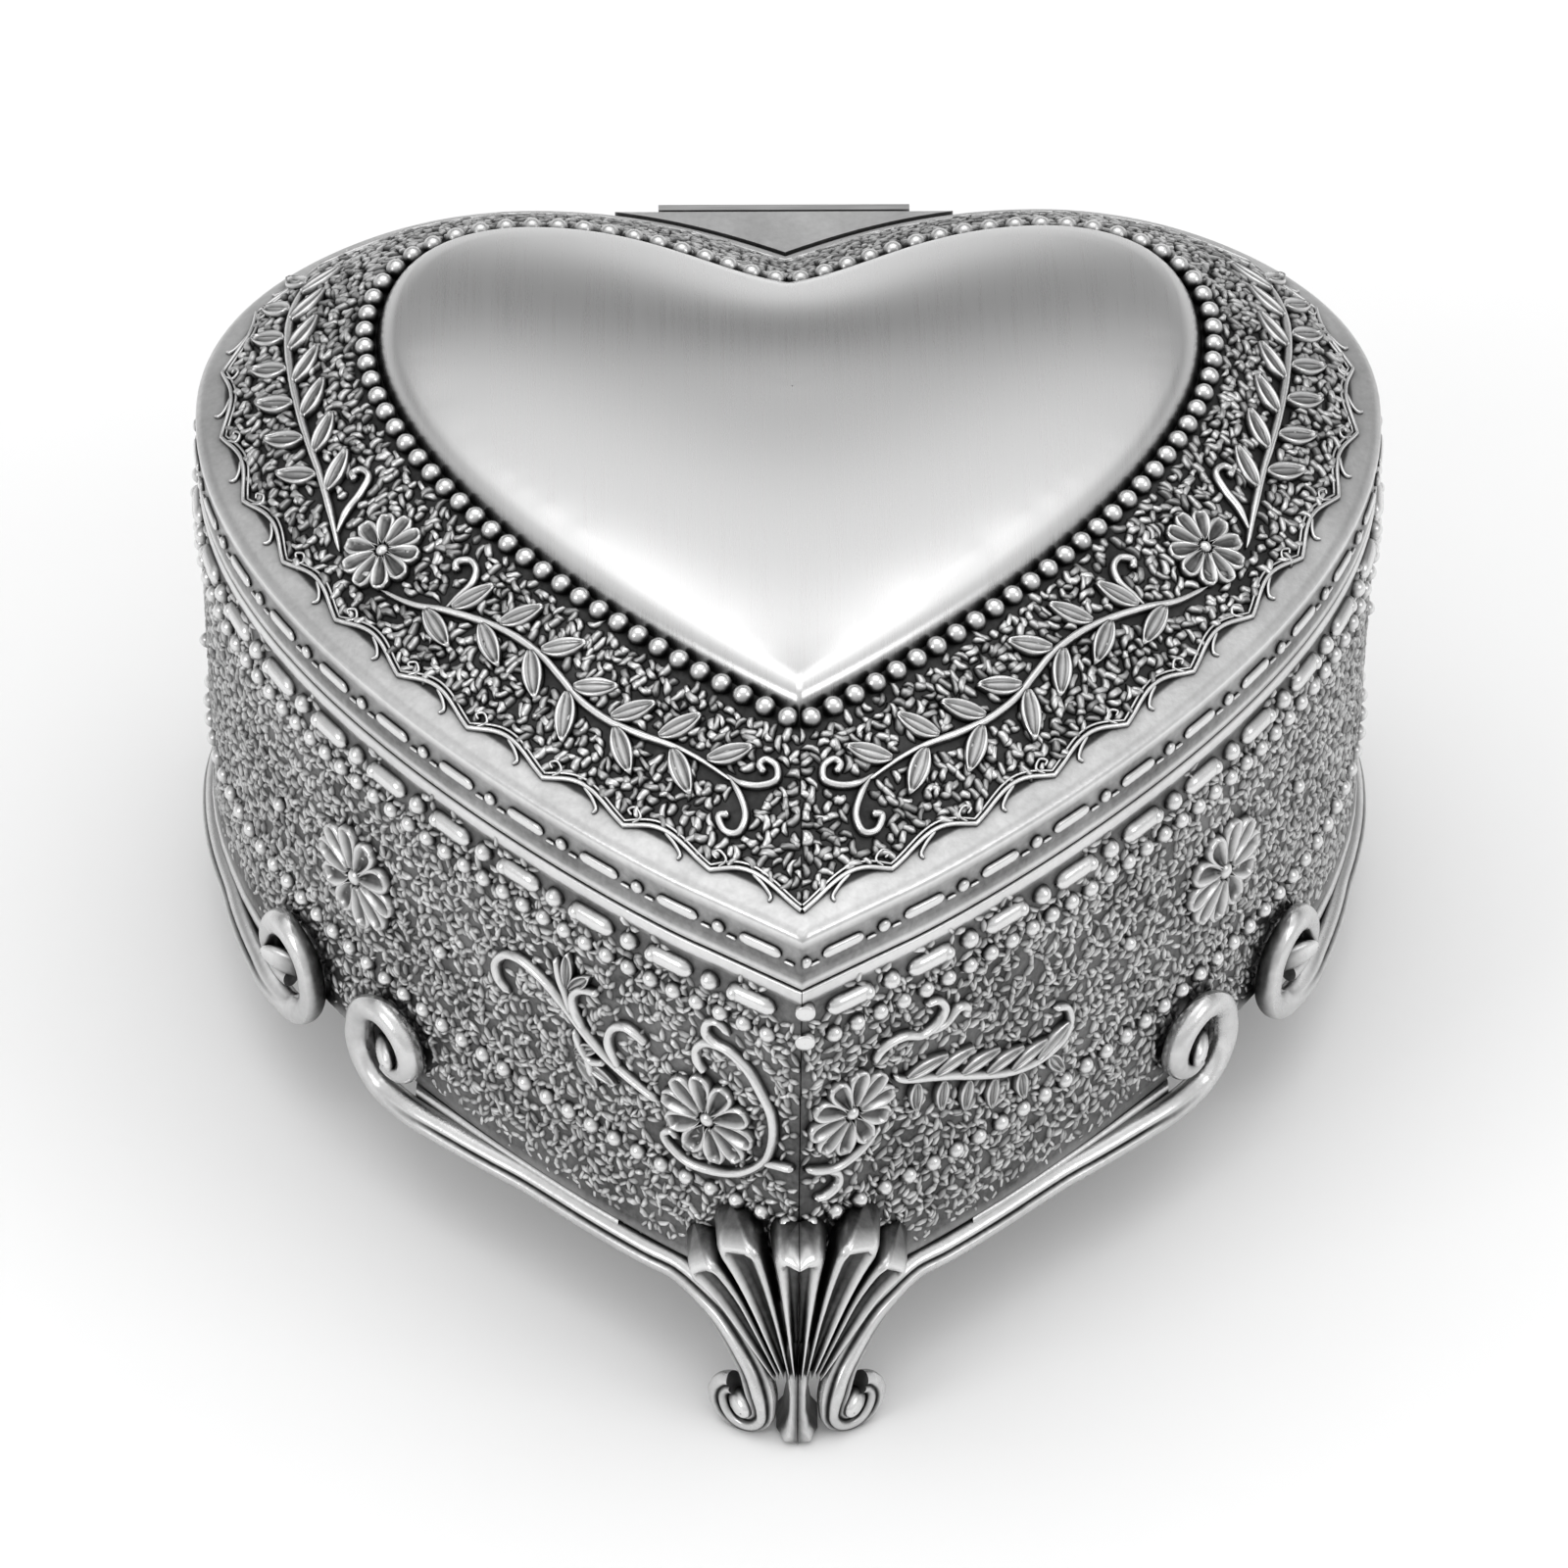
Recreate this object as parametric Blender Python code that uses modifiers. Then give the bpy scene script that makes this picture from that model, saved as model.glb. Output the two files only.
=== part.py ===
"""Heart-shaped trinket box: cast walls, scroll feet, velvet linings and a hinged domed lid.

Metres, +Z up. The heart's point faces -Y, the hinge is at +Y, and the floor is z = 0.
The origin is the middle of the footprint, on the floor.
"""

import math
from functools import lru_cache

import bmesh
import bpy
from mathutils import Vector

# Overall sizes
LID_WIDTH = 0.1100          # across the lobes
LID_DEPTH = 0.1016          # front point to the back of the lobes
WALL_TOP = 0.0520           # floor to the seam between walls and lid
GAP = 0.0003                # clearance between neighbouring pieces

# Lid
RIM_HEIGHT = 0.0062         # upright edge of the lid
LEDGE_WIDTH = 0.0026        # smooth ledge inside the edge
LEDGE_RISE = 0.0008
BAND_SIDE = 0.0159          # edge to pearl line, sides and front
BAND_BACK = 0.0129          # edge to pearl line, back
BAND_RISE = 0.0068          # ledge to pearl line
SHOULDER_WIDTH = 0.0035     # rounded shoulder of the raised heart
SHOULDER_RISE = 0.0030
DOME_RISE = 0.0018          # crown above the shoulder
SHOULDER_MID = 0.75         # share of its rise that the shoulder has midway across
DOME_SECTIONS = (0.7, 0.35)  # sections of the dome, as shares of its edge
LID_THICKNESS = 0.0016

# Walls
WALL_INSET = 0.0002         # wall face behind the lid's edge
WALL_THICKNESS = 0.0020
FRONT_SEAM = 0.0003         # joint between the two side castings
FLAT_SINK = 0.0007          # the flat back starts where the face has turned in this far
PLATE_BACK_INSET = 0.0005   # flat back in front of the lobes' backs
PLATE_THICKNESS = 0.0016    # cover plate between the lobes
CORNER_CUT = 0.0030         # chamfer at the cover plate's back corners
FLOOR_THICKNESS = 0.0015

# Scroll mouldings and feet
RAIL_RADIUS = 0.0015
RAIL_Z = 0.0113             # middle of the front rail
REAR_RAIL_DROP = 0.0010     # rear rails run this much lower
RAIL_OUT = 0.0001           # middle of the rail beyond the wall face
RAIL_TUCK = 0.0160          # run over which a rail moves in under the wall
FRONT_VOLUTE = 0.0496       # along the wall, front point to the front scroll's upper curl
VOLUTE_GAP = 0.00045        # clear space between the front and rear scrolls' upper curls
VOLUTE_RADIUS = 0.0039      # upper curl, at its top
VOLUTE_RISE = 0.0059        # rail to the middle of the upper curl
VOLUTE_SHARES = (0.62, 0.90, 1.0, 1.0)  # the curl's radius each quarter turn from its inner end
VOLUTE_TUBE = (0.55, 0.85)  # its thickness at the inner end and at the rail, in rail radii
REAR_FOOT_FROM_END = 0.0260  # along the wall, rear foot to the flat back
BACK_VOLUTE_FROM_END = 0.0062
FOOT_OUT = 0.0043           # how far the feet flare beyond the wall
FOOT_CURL = 0.0062          # foot centreline to the middle of its curl
FOOT_CURL_RADIUS = 0.0025
FOOT_CURL_TAPER = 0.22      # share of its radius that the curl loses to its end
FOOT_CURL_QUARTERS = 2.8    # quarter turns of the foot's curl
LEG_TUBE = 0.9              # leg's thickness, in rail radii
# The leg's route: shares of the way along, up and out between the foot's curl and the rail
LEG_ROUTE = ((0.62, 0.93, 0.30), (0.38, 0.78, 0.52), (0.14, 0.50, 0.76), (0.03, 0.22, 0.92))
FOOT_TUBE = 0.0012
SOLE_CUT = 0.0004           # ground off the curl to make a flat sole

# Palmettes over the feet
FAN_HEIGHT = 0.0235
FAN_WIDTH = 0.0126          # half width of the fan
FAN_THICKNESS = 0.0014
FAN_SEAT = 0.0012           # stands this much further off the wall than it needs to
FAN_BEHIND_FOOT = 0.0026    # toe of the palmette behind the middle of the foot's curl
# Half of the fan's outline, as shares of its half width and height
FAN_HALF = ((0.00, 0.00), (0.10, 0.00), (0.12, 0.19), (0.17, 0.36), (0.33, 0.52), (0.60, 0.62),
            (0.93, 0.63), (1.00, 0.69), (0.95, 0.76), (0.80, 0.78), (0.73, 0.75), (0.72, 0.85),
            (0.61, 0.93), (0.45, 0.92), (0.33, 0.84), (0.29, 0.93), (0.16, 0.99), (0.00, 1.00))

# Hinge
HINGE_HALF = 0.0120
KNUCKLE_HALF = 0.0040       # half length of the lid's knuckle
LEAF_THICKNESS = 0.0008
LEAF_DROP = 0.0080          # lower leaf's reach below the seam
BARREL_RADIUS = 0.0016
PIN_RADIUS = 0.0007
PIN_CLEARANCE = 0.0003
BARREL_SIDES = 20

# Velvet linings
LINING = 0.0010
PAD = 0.0020
LID_PAD_DROP = 0.0020       # lid pad's face above the lid's lower edge

# The heart's outline as shares of the pearl line's half width and depth
TIP_ANGLE = math.radians(31.5)
TIP_HANDLE = 0.079
SIDE_HEIGHT = 0.767
SIDE_HANDLE_FRONT = 0.334
SIDE_HANDLE_BACK = 0.182
LOBE_MIDDLE = 0.616
LOBE_HANDLE_OUT = 0.163
LOBE_HANDLE_IN = 0.296
CLEFT_DEPTH = 0.880
CLEFT_HANDLE = 0.159
CLEFT_ANGLE = math.radians(13.6)

# Mesh fineness
CURVE_SAMPLES = 60          # per Bezier of the outline
OUTLINE_POINTS = 36         # per half outline
SPIRAL_STEP = math.radians(24)
RAIL_STEP = 0.0040          # along a rail
CHORD = 0.0005              # short step that gives an outline's direction
END_SAMPLES = 4             # samples that give the direction of an outline's open end
SHARP_ANGLE = math.radians(35)
FAN_CELL = 0.0040           # palmettes are split this fine before they are bent

# Places worked out from the sizes above
HALF_WIDTH = LID_WIDTH / 2
PEARL_HALF_WIDTH = HALF_WIDTH - BAND_SIDE
TIP_MITRE = BAND_SIDE / math.cos(TIP_ANGLE)
PEARL_DEPTH = LID_DEPTH - TIP_MITRE - BAND_BACK
LOBE_BACK = LID_DEPTH
FLAT_BACK = LOBE_BACK - PLATE_BACK_INSET
LEAF_FRONT = FLAT_BACK + GAP
PIN_Y = LEAF_FRONT + BARREL_RADIUS + GAP / 3
PIN_Z = WALL_TOP + GAP / 2
LID_BOTTOM = WALL_TOP + GAP
RIM_TOP = LID_BOTTOM + RIM_HEIGHT
PEARL_Z = RIM_TOP + LEDGE_RISE + BAND_RISE
WALL_BOTTOM = RAIL_Z + RAIL_RADIUS + GAP
FLOOR_TOP = WALL_BOTTOM + FLOOR_THICKNESS
LINING_FACE = -(WALL_THICKNESS + GAP)

COLLECTION = "heart_trinket_box"


# ---------------------------------------------------------------- outline

def bezier(a, b, c, d):
    """Points along one cubic Bezier, without its last point."""
    points = []
    for i in range(CURVE_SAMPLES):
        t = i / CURVE_SAMPLES
        s = 1 - t
        points.append(a * s**3 + b * (3 * s * s * t) + c * (3 * s * t * t) + d * t**3)
    return points


@lru_cache(maxsize=None)
def pearl_half():
    """Right half of the pearl line, from the front point round the lobe to the cleft."""
    w, h = PEARL_HALF_WIDTH, PEARL_DEPTH
    tip = Vector((0, 0))
    side = Vector((w, SIDE_HEIGHT * h))
    lobe = Vector((LOBE_MIDDLE * w, h))
    cleft = Vector((0, CLEFT_DEPTH * h))
    tip_dir = Vector((math.cos(TIP_ANGLE), math.sin(TIP_ANGLE)))
    cleft_dir = Vector((math.cos(CLEFT_ANGLE), math.sin(CLEFT_ANGLE)))
    points = bezier(tip, tip + tip_dir * TIP_HANDLE * h,
                    side - Vector((0, SIDE_HANDLE_FRONT * h)), side)
    points += bezier(side, side + Vector((0, SIDE_HANDLE_BACK * h)),
                     lobe + Vector((LOBE_HANDLE_OUT * w, 0)), lobe)
    points += bezier(lobe, lobe - Vector((LOBE_HANDLE_IN * w, 0)),
                     cleft + cleft_dir * CLEFT_HANDLE * w, cleft)
    points.append(cleft)
    return [p + Vector((0, TIP_MITRE)) for p in points]


def clip_to(points, x_min):
    """Cut or extend a half outline so that both its ends lie on x = x_min."""
    inside = [i for i, p in enumerate(points) if p.x > x_min]
    first, last = inside[0], inside[-1]
    ends = []
    for near, step in ((first, 1), (last, -1)):
        a = points[near]
        beyond = near - step
        b = points[beyond if 0 <= beyond < len(points) else near + END_SAMPLES * step]
        ends.append(a + (b - a) * ((a.x - x_min) / (a.x - b.x)))
    return [ends[0]] + points[first:last + 1] + [ends[1]]


def lengths(points):
    """Arc length at each point."""
    total = [0.0]
    for a, b in zip(points, points[1:]):
        total.append(total[-1] + (b - a).length)
    return total


def at_length(points, total, s):
    """Point at arc length s, with the ends extended straight."""
    i = 0
    while i < len(total) - 2 and total[i + 1] < s:
        i += 1
    share = (s - total[i]) / (total[i + 1] - total[i])
    return points[i].lerp(points[i + 1], share) if share <= 1 else (
        points[i] + (points[i + 1] - points[i]) * share)


@lru_cache(maxsize=None)
def lid_line(out, x_min=0.0):
    """Half outline at a distance `out` beyond the lid's edge, negative inwards.

    The band between pearl line and edge narrows from BAND_SIDE to BAND_BACK
    where the outline faces back.
    """
    pearl = pearl_half()
    points = []
    for i, p in enumerate(pearl):
        a = pearl[max(i - 1, 0)]
        b = pearl[min(i + 1, len(pearl) - 1)]
        along = (b - a).normalized()
        normal = Vector((along.y, -along.x))
        back = min(max(normal.y, 0.0), 1.0)
        back = back * back * (3 - 2 * back)
        side_share = (BAND_SIDE + out) / BAND_SIDE
        band = BAND_SIDE + (BAND_BACK - BAND_SIDE) * back
        points.append(p + normal * (band * side_share if out < 0 else band + out))
    return clip_to(points, x_min)


@lru_cache(maxsize=None)
def wall_line(out, x_min=0.0):
    """Half outline at a distance `out` beyond the walls' outer face."""
    return lid_line(out - WALL_INSET, x_min)


def resampled(points, count):
    """The same outline with `count` points at even spacing."""
    total = lengths(points)
    return [at_length(points, total, total[-1] * i / (count - 1)) for i in range(count)]


def heart_ring(half):
    """Whole outline from a right half that starts and ends on the centre line."""
    left = [Vector((-p.x, p.y)) for p in reversed(half[1:-1])]
    return half + left


def until_back(points, half_width):
    """The part of a half outline before it comes back to x = half_width."""
    top = max(range(len(points)), key=lambda i: points[i].x)
    kept = [p for i, p in enumerate(points) if i < top or p.x > half_width]
    a, b = points[len(kept) - 1], points[len(kept)]
    return kept + [a + (b - a) * ((a.x - half_width) / (a.x - b.x))]


@lru_cache(maxsize=None)
def line_lengths(out):
    return lengths(wall_line(out))


@lru_cache(maxsize=None)
def abreast(s, out):
    """Arc length on the line `out` beyond the face, straight out from s on the face."""
    if s == 0:
        return 0.0
    face, total = wall_line(0.0), line_lengths(0.0)
    here = at_length(face, total, s)
    along = (at_length(face, total, s + CHORD) - here).normalized()
    spot = here + Vector((along.y, -along.x)) * out
    line = wall_line(out)
    nearest = min(range(len(line)), key=lambda i: (line[i] - spot).length)
    return line_lengths(out)[nearest]


def wall_point(foot_s, u, out, z, side):
    """Point at a distance u along the wall from a foot, and `out` beyond the wall face."""
    out = round(out, 5)
    p = at_length(wall_line(out), line_lengths(out), abreast(foot_s, out) + u)
    return Vector((side * p.x, p.y - middle_y(), z))


@lru_cache(maxsize=None)
def middle_y():
    """Middle of the footprint, from the front palmette's toe to the back of the hinge."""
    toe = wall_line(fan_out(0.0) + FAN_THICKNESS / 2)[0].y
    return (toe + PIN_Y + BARREL_RADIUS) / 2


@lru_cache(maxsize=None)
def back_half():
    """Half width of the flat back, where the walls' face has turned in by FLAT_SINK."""
    line = wall_line(0.0)
    deep = max(p.y for p in line) - FLAT_SINK
    last = max(i for i, p in enumerate(line) if p.y >= deep)
    a, b = line[last], line[last + 1]
    return a.x + (b.x - a.x) * (a.y - deep) / (a.y - b.y)


def wall_end():
    """Arc length of the walls' outer face up to the flat back."""
    return lengths(until_back(wall_line(0.0), back_half()))[-1]


# ---------------------------------------------------------------- scene

def clear_scene():
    for thing in list(bpy.data.objects):
        bpy.data.objects.remove(thing, do_unlink=True)


def new_collection(name):
    group = bpy.data.collections.new(name)
    bpy.context.scene.collection.children.link(group)
    return group


def material(name, color, metallic, roughness):
    made = bpy.data.materials.new(name)
    made.use_nodes = True
    shader = made.node_tree.nodes["Principled BSDF"]
    shader.inputs["Base Color"].default_value = (*color, 1)
    shader.inputs["Metallic"].default_value = metallic
    shader.inputs["Roughness"].default_value = roughness
    return made


def mesh_object(name, mesh, group, look):
    thing = bpy.data.objects.new(name, mesh)
    group.objects.link(thing)
    mesh.materials.clear()
    mesh.materials.append(look)
    return thing


def curve_to_mesh(curve_object, name, group, look):
    """Replace a curve object by a mesh object with welded caps."""
    bpy.context.view_layer.update()
    graph = bpy.context.evaluated_depsgraph_get()
    mesh = bpy.data.meshes.new_from_object(curve_object.evaluated_get(graph))
    place = curve_object.matrix_world.copy()
    bpy.data.objects.remove(curve_object, do_unlink=True)
    bm = bmesh.new()
    bm.from_mesh(mesh)
    bmesh.ops.remove_doubles(bm, verts=bm.verts, dist=1e-6)
    bmesh.ops.recalc_face_normals(bm, faces=bm.faces)
    bm.to_mesh(mesh)
    bm.free()
    thing = mesh_object(name, mesh, group, look)
    thing.matrix_world = place
    return thing


def plan_solid(name, loop, z_low, z_high, group, look):
    """Upright solid with the plan outline `loop`, a 2D curve filled and extruded."""
    curve = bpy.data.curves.new(name + "_plan", "CURVE")
    curve.dimensions = "2D"
    curve.fill_mode = "BOTH"
    curve.extrude = (z_high - z_low) / 2
    spline = curve.splines.new("POLY")
    spline.points.add(len(loop) - 1)
    for point, p in zip(spline.points, loop):
        point.co = (p.x, p.y - middle_y(), 0, 1)
    spline.use_cyclic_u = True
    holder = bpy.data.objects.new(name + "_plan", curve)
    holder.location.z = (z_low + z_high) / 2
    group.objects.link(holder)
    return curve_to_mesh(holder, name, group, look)


def box(name, low, high, group, look):
    """Box between two corners, from a cube primitive."""
    bm = bmesh.new()
    bmesh.ops.create_cube(bm, size=1)
    size = [h - l for l, h in zip(low, high)]
    centre = [(h + l) / 2 for l, h in zip(low, high)]
    bmesh.ops.scale(bm, vec=size, verts=bm.verts)
    bmesh.ops.translate(bm, vec=centre, verts=bm.verts)
    mesh = bpy.data.meshes.new(name)
    bm.to_mesh(mesh)
    bm.free()
    return mesh_object(name, mesh, group, look)


def barrel(name, radius, x_low, x_high, group, look):
    """Cylinder along X on the hinge axis, from a cone primitive with equal ends."""
    bm = bmesh.new()
    bmesh.ops.create_cone(bm, cap_ends=True, segments=BARREL_SIDES, radius1=radius,
                          radius2=radius, depth=x_high - x_low)
    mesh = bpy.data.meshes.new(name)
    bm.to_mesh(mesh)
    bm.free()
    thing = mesh_object(name, mesh, group, look)
    thing.rotation_euler.y = math.pi / 2
    thing.location = ((x_low + x_high) / 2, PIN_Y - middle_y(), PIN_Z)
    return thing


def boolean(target, tool, operation, cutters):
    """EXACT Boolean that stays on the target; the tool becomes a hidden guide."""
    modifier = target.modifiers.new(tool.name, "BOOLEAN")
    modifier.operation = operation
    modifier.solver = "EXACT"
    modifier.object = tool
    for group in list(tool.users_collection):
        group.objects.unlink(tool)
    cutters.objects.link(tool)
    tool.hide_render = True
    tool.display_type = "WIRE"


# ---------------------------------------------------------------- walls

def strip_loop(outer, inner, x_start):
    """Plan outline of a wall strip between two parallel lines, front to flat back."""
    face = resampled(until_back(wall_line(outer, x_start), back_half()), OUTLINE_POINTS)
    back = resampled(until_back(wall_line(inner, x_start), back_half()), OUTLINE_POINTS)
    return face + list(reversed(back))


def mirrored(loop, side):
    return [Vector((side * p.x, p.y)) for p in loop]


def side_wall(name, side, group, look):
    loop = strip_loop(0.0, -WALL_THICKNESS, FRONT_SEAM / 2)
    return plan_solid(name, mirrored(loop, side), WALL_BOTTOM, WALL_TOP, group, look)


def side_lining(name, side, group, look):
    loop = strip_loop(LINING_FACE, LINING_FACE - LINING, GAP / 2)
    return plan_solid(name, mirrored(loop, side), FLOOR_TOP + 2 * GAP + PAD,
                      WALL_TOP - GAP, group, look)


def across_back(name, y_front, y_back, z_low, z_high, group, look):
    half = back_half() - GAP
    return box(name, (-half, y_front - middle_y(), z_low), (half, y_back - middle_y(), z_high),
               group, look)


def cavity_ring(out, y_back):
    """Heart outline inside the walls whose cleft is cut off straight at y_back."""
    half = resampled(wall_line(out), 2 * OUTLINE_POINTS)
    top = max(range(len(half)), key=lambda i: half[i].x)
    kept = [p for i, p in enumerate(half) if i < top or p.x > back_half()]
    kept.append(Vector((back_half(), min(kept[-1].y, y_back))))
    left = [Vector((-p.x, p.y)) for p in reversed(kept[1:])]
    return kept + left


# ---------------------------------------------------------------- lid

def lid_rings():
    """Sections of the lid's outer surface, from the lower edge to the crown."""
    band = -LEDGE_WIDTH
    pearl = -BAND_SIDE
    shoulder = pearl - SHOULDER_WIDTH
    levels = [(0.0, LID_BOTTOM), (0.0, RIM_TOP), (band, RIM_TOP + LEDGE_RISE), (pearl, PEARL_Z),
              ((pearl + shoulder) / 2, PEARL_Z + SHOULDER_MID * SHOULDER_RISE),
              (shoulder, PEARL_Z + SHOULDER_RISE)]
    rings = [(heart_ring(resampled(lid_line(out), OUTLINE_POINTS)), z) for out, z in levels]
    last = rings[-1][0]
    centre = Vector((0, TIP_MITRE + PEARL_DEPTH / 2))
    for scale in DOME_SECTIONS:
        z = PEARL_Z + SHOULDER_RISE + DOME_RISE * (1 - scale**2)
        rings.append(([centre.lerp(p, scale) for p in last], z))
    return rings, centre


def lid_shell(group, look):
    """Loft through heart sections of different size, thickened inwards."""
    rings, centre = lid_rings()
    bm = bmesh.new()
    rows = [[bm.verts.new((p.x, p.y - middle_y(), z)) for p in ring] for ring, z in rings]
    crown = bm.verts.new((centre.x, centre.y - middle_y(), PEARL_Z + SHOULDER_RISE + DOME_RISE))
    count = len(rows[0])
    for low, high in zip(rows, rows[1:]):
        for i in range(count):
            j = (i + 1) % count
            bm.faces.new((low[i], low[j], high[j], high[i]))
    for i in range(count):
        bm.faces.new((rows[-1][i], rows[-1][(i + 1) % count], crown))
    mesh = bpy.data.meshes.new("lid_shell")
    bm.to_mesh(mesh)
    bm.free()
    thing = mesh_object("lid_shell", mesh, group, look)
    shell = thing.modifiers.new("thickness", "SOLIDIFY")
    shell.thickness = LID_THICKNESS
    shell.offset = -1
    shell.use_even_offset = True
    return thing


def lid_back_plate(group, cutters, look):
    """Flat plate that fills the cleft, with a skirt down to the seam behind it."""
    lobe = wall_line(WALL_INSET + GAP)
    notch = [p for i, p in enumerate(lobe) if i > len(lobe) // 2 and p.x < back_half() - GAP]
    notch = resampled(notch, OUTLINE_POINTS // 3)
    corner = Vector((back_half() - CORNER_CUT, FLAT_BACK))
    half = notch[:-1] + [Vector((0.0, notch[-1].y))]
    right = [corner] + half
    left = [Vector((-p.x, p.y)) for p in reversed(right[:-1])]
    plate = plan_solid("lid_back_plate", right + left, RIM_TOP - PLATE_THICKNESS, RIM_TOP,
                       group, look)
    skirt_front = FLAT_BACK - PLATE_THICKNESS
    half_skirt = min(p.x for p in lobe if p.y > skirt_front and p.x > CHORD) - GAP
    skirt = box("plate_skirt", (-half_skirt, skirt_front - middle_y(), LID_BOTTOM),
                (half_skirt, FLAT_BACK - middle_y(), RIM_TOP - PLATE_THICKNESS / 2), group, look)
    boolean(plate, skirt, "UNION", cutters)
    return plate


def lid_lining(group, look):
    ring = heart_ring(resampled(lid_line(-LID_THICKNESS - LINING), OUTLINE_POINTS))
    low = LID_BOTTOM + LID_PAD_DROP
    return plan_solid("lid_lining", ring, low, low + PAD, group, look)


# ---------------------------------------------------------------- scrolls

def spiral(centre, start, end, r_start, r_end):
    """Points (u, z) of a spiral about `centre` between two angles."""
    steps = max(2, round(abs(end - start) / SPIRAL_STEP))
    points = []
    for i in range(steps + 1):
        share = i / steps
        angle = start + (end - start) * share
        radius = r_start + (r_end - r_start) * share
        points.append((centre[0] + radius * math.cos(angle), centre[1] + radius * math.sin(angle)))
    return points


def upper_curl(curl_u, rail_z):
    """Rows (u, z, out, thickness) of the upper curl, from its inner end down to the rail."""
    radii = [share * VOLUTE_RADIUS for share in VOLUTE_SHARES] + [VOLUTE_RISE]
    quarter = math.pi / 2
    steps = round(quarter / SPIRAL_STEP)
    count = steps * (len(radii) - 1)
    rows = []
    for i in range(count + 1):
        part = min(i // steps, len(radii) - 2)
        share = i / steps - part
        radius = radii[part] + (radii[part + 1] - radii[part]) * share
        angle = quarter * (3 - i / steps)
        thick = VOLUTE_TUBE[0] + (VOLUTE_TUBE[1] - VOLUTE_TUBE[0]) * i / count
        rows.append((curl_u + radius * math.cos(angle),
                     rail_z + VOLUTE_RISE + radius * math.sin(angle), RAIL_RADIUS + GAP, thick))
    return rows


def rail(curl_u, rail_z):
    """Rows of the straight rail, which moves in under the wall as it leaves the curl."""
    clear = RAIL_RADIUS + GAP
    start = curl_u - VOLUTE_RADIUS
    run = start - 2 * FOOT_CURL
    steps = max(3, math.ceil(run / RAIL_STEP))
    rows = []
    for i in range(steps + 1):
        back = run * i / steps
        out = RAIL_OUT + (clear - RAIL_OUT) * max(0.0, 1 - back / RAIL_TUCK)
        rows.append((start - back, rail_z, out, 1.0))
    return rows


def leg(rail_z):
    """Rows of the leg and the curl that the foot stands on."""
    quarter = math.pi / 2
    foot_z = ((1 - FOOT_CURL_TAPER / FOOT_CURL_QUARTERS) * FOOT_CURL_RADIUS
              + FOOT_TUBE - SOLE_CUT)
    side_u = FOOT_CURL - FOOT_CURL_RADIUS
    rows = []
    for along, up, outward in LEG_ROUTE:
        u = side_u + (2 * FOOT_CURL - side_u) * along
        rows.append((u, foot_z + (rail_z - foot_z) * up, FOOT_OUT * outward, LEG_TUBE))
    curl = spiral((FOOT_CURL, foot_z), 2 * quarter, (2 + FOOT_CURL_QUARTERS) * quarter,
                  FOOT_CURL_RADIUS, (1 - FOOT_CURL_TAPER) * FOOT_CURL_RADIUS)
    return rows + [(u, z, FOOT_OUT, FOOT_TUBE / RAIL_RADIUS) for u, z in curl]


def scroll_route(curl_u, rail_z):
    """Route (u, z, out, thickness) of one scroll from its upper curl to its foot curl.

    u is the distance along the wall from the foot's centre line.
    """
    return upper_curl(curl_u, rail_z) + rail(curl_u, rail_z) + leg(rail_z)


def scroll(name, foot_s, direction, curl_u, rail_z, side, group, cutters, look):
    """Round moulding along the wall's lower edge that ends in two curls."""
    curve = bpy.data.curves.new(name + "_path", "CURVE")
    curve.dimensions = "3D"
    curve.bevel_depth = RAIL_RADIUS
    curve.bevel_resolution = 2
    curve.use_fill_caps = True
    route = scroll_route(curl_u, rail_z)
    spline = curve.splines.new("POLY")
    spline.points.add(len(route) - 1)
    for point, (u, z, out, thick) in zip(spline.points, route):
        point.co = (*wall_point(foot_s, direction * u, out, z, side), 1)
        point.radius = thick
    holder = bpy.data.objects.new(name + "_path", curve)
    group.objects.link(holder)
    thing = curve_to_mesh(holder, name, group, look)
    half = LID_WIDTH
    ground = box(name + "_ground", (-half, -half, -0.01), (half, half, 0.0), group, look)
    boolean(thing, ground, "DIFFERENCE", cutters)
    return thing


# ---------------------------------------------------------------- palmettes

def fan_out(z):
    """How far the palmette's middle stands off the wall face at height z."""
    seat = FAN_THICKNESS / 2 + GAP
    lean = max(0.0, 1 - z / WALL_BOTTOM)
    return seat + FAN_SEAT + (FOOT_OUT - FAN_BEHIND_FOOT) * lean


def cell_grid(bm):
    """Split a flat fan along a grid, so that it can follow a curved wall."""
    across = math.ceil(FAN_WIDTH / FAN_CELL)
    up = math.ceil(FAN_HEIGHT / FAN_CELL)
    cuts = [((i * FAN_CELL, 0, 0), (1, 0, 0)) for i in range(-across, across + 1)]
    cuts += [((0, i * FAN_CELL, 0), (0, 1, 0)) for i in range(1, up)]
    for place, normal in cuts:
        parts = bm.verts[:] + bm.edges[:] + bm.faces[:]
        bmesh.ops.bisect_plane(bm, geom=parts, dist=1e-6, plane_co=place, plane_no=normal)


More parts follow.
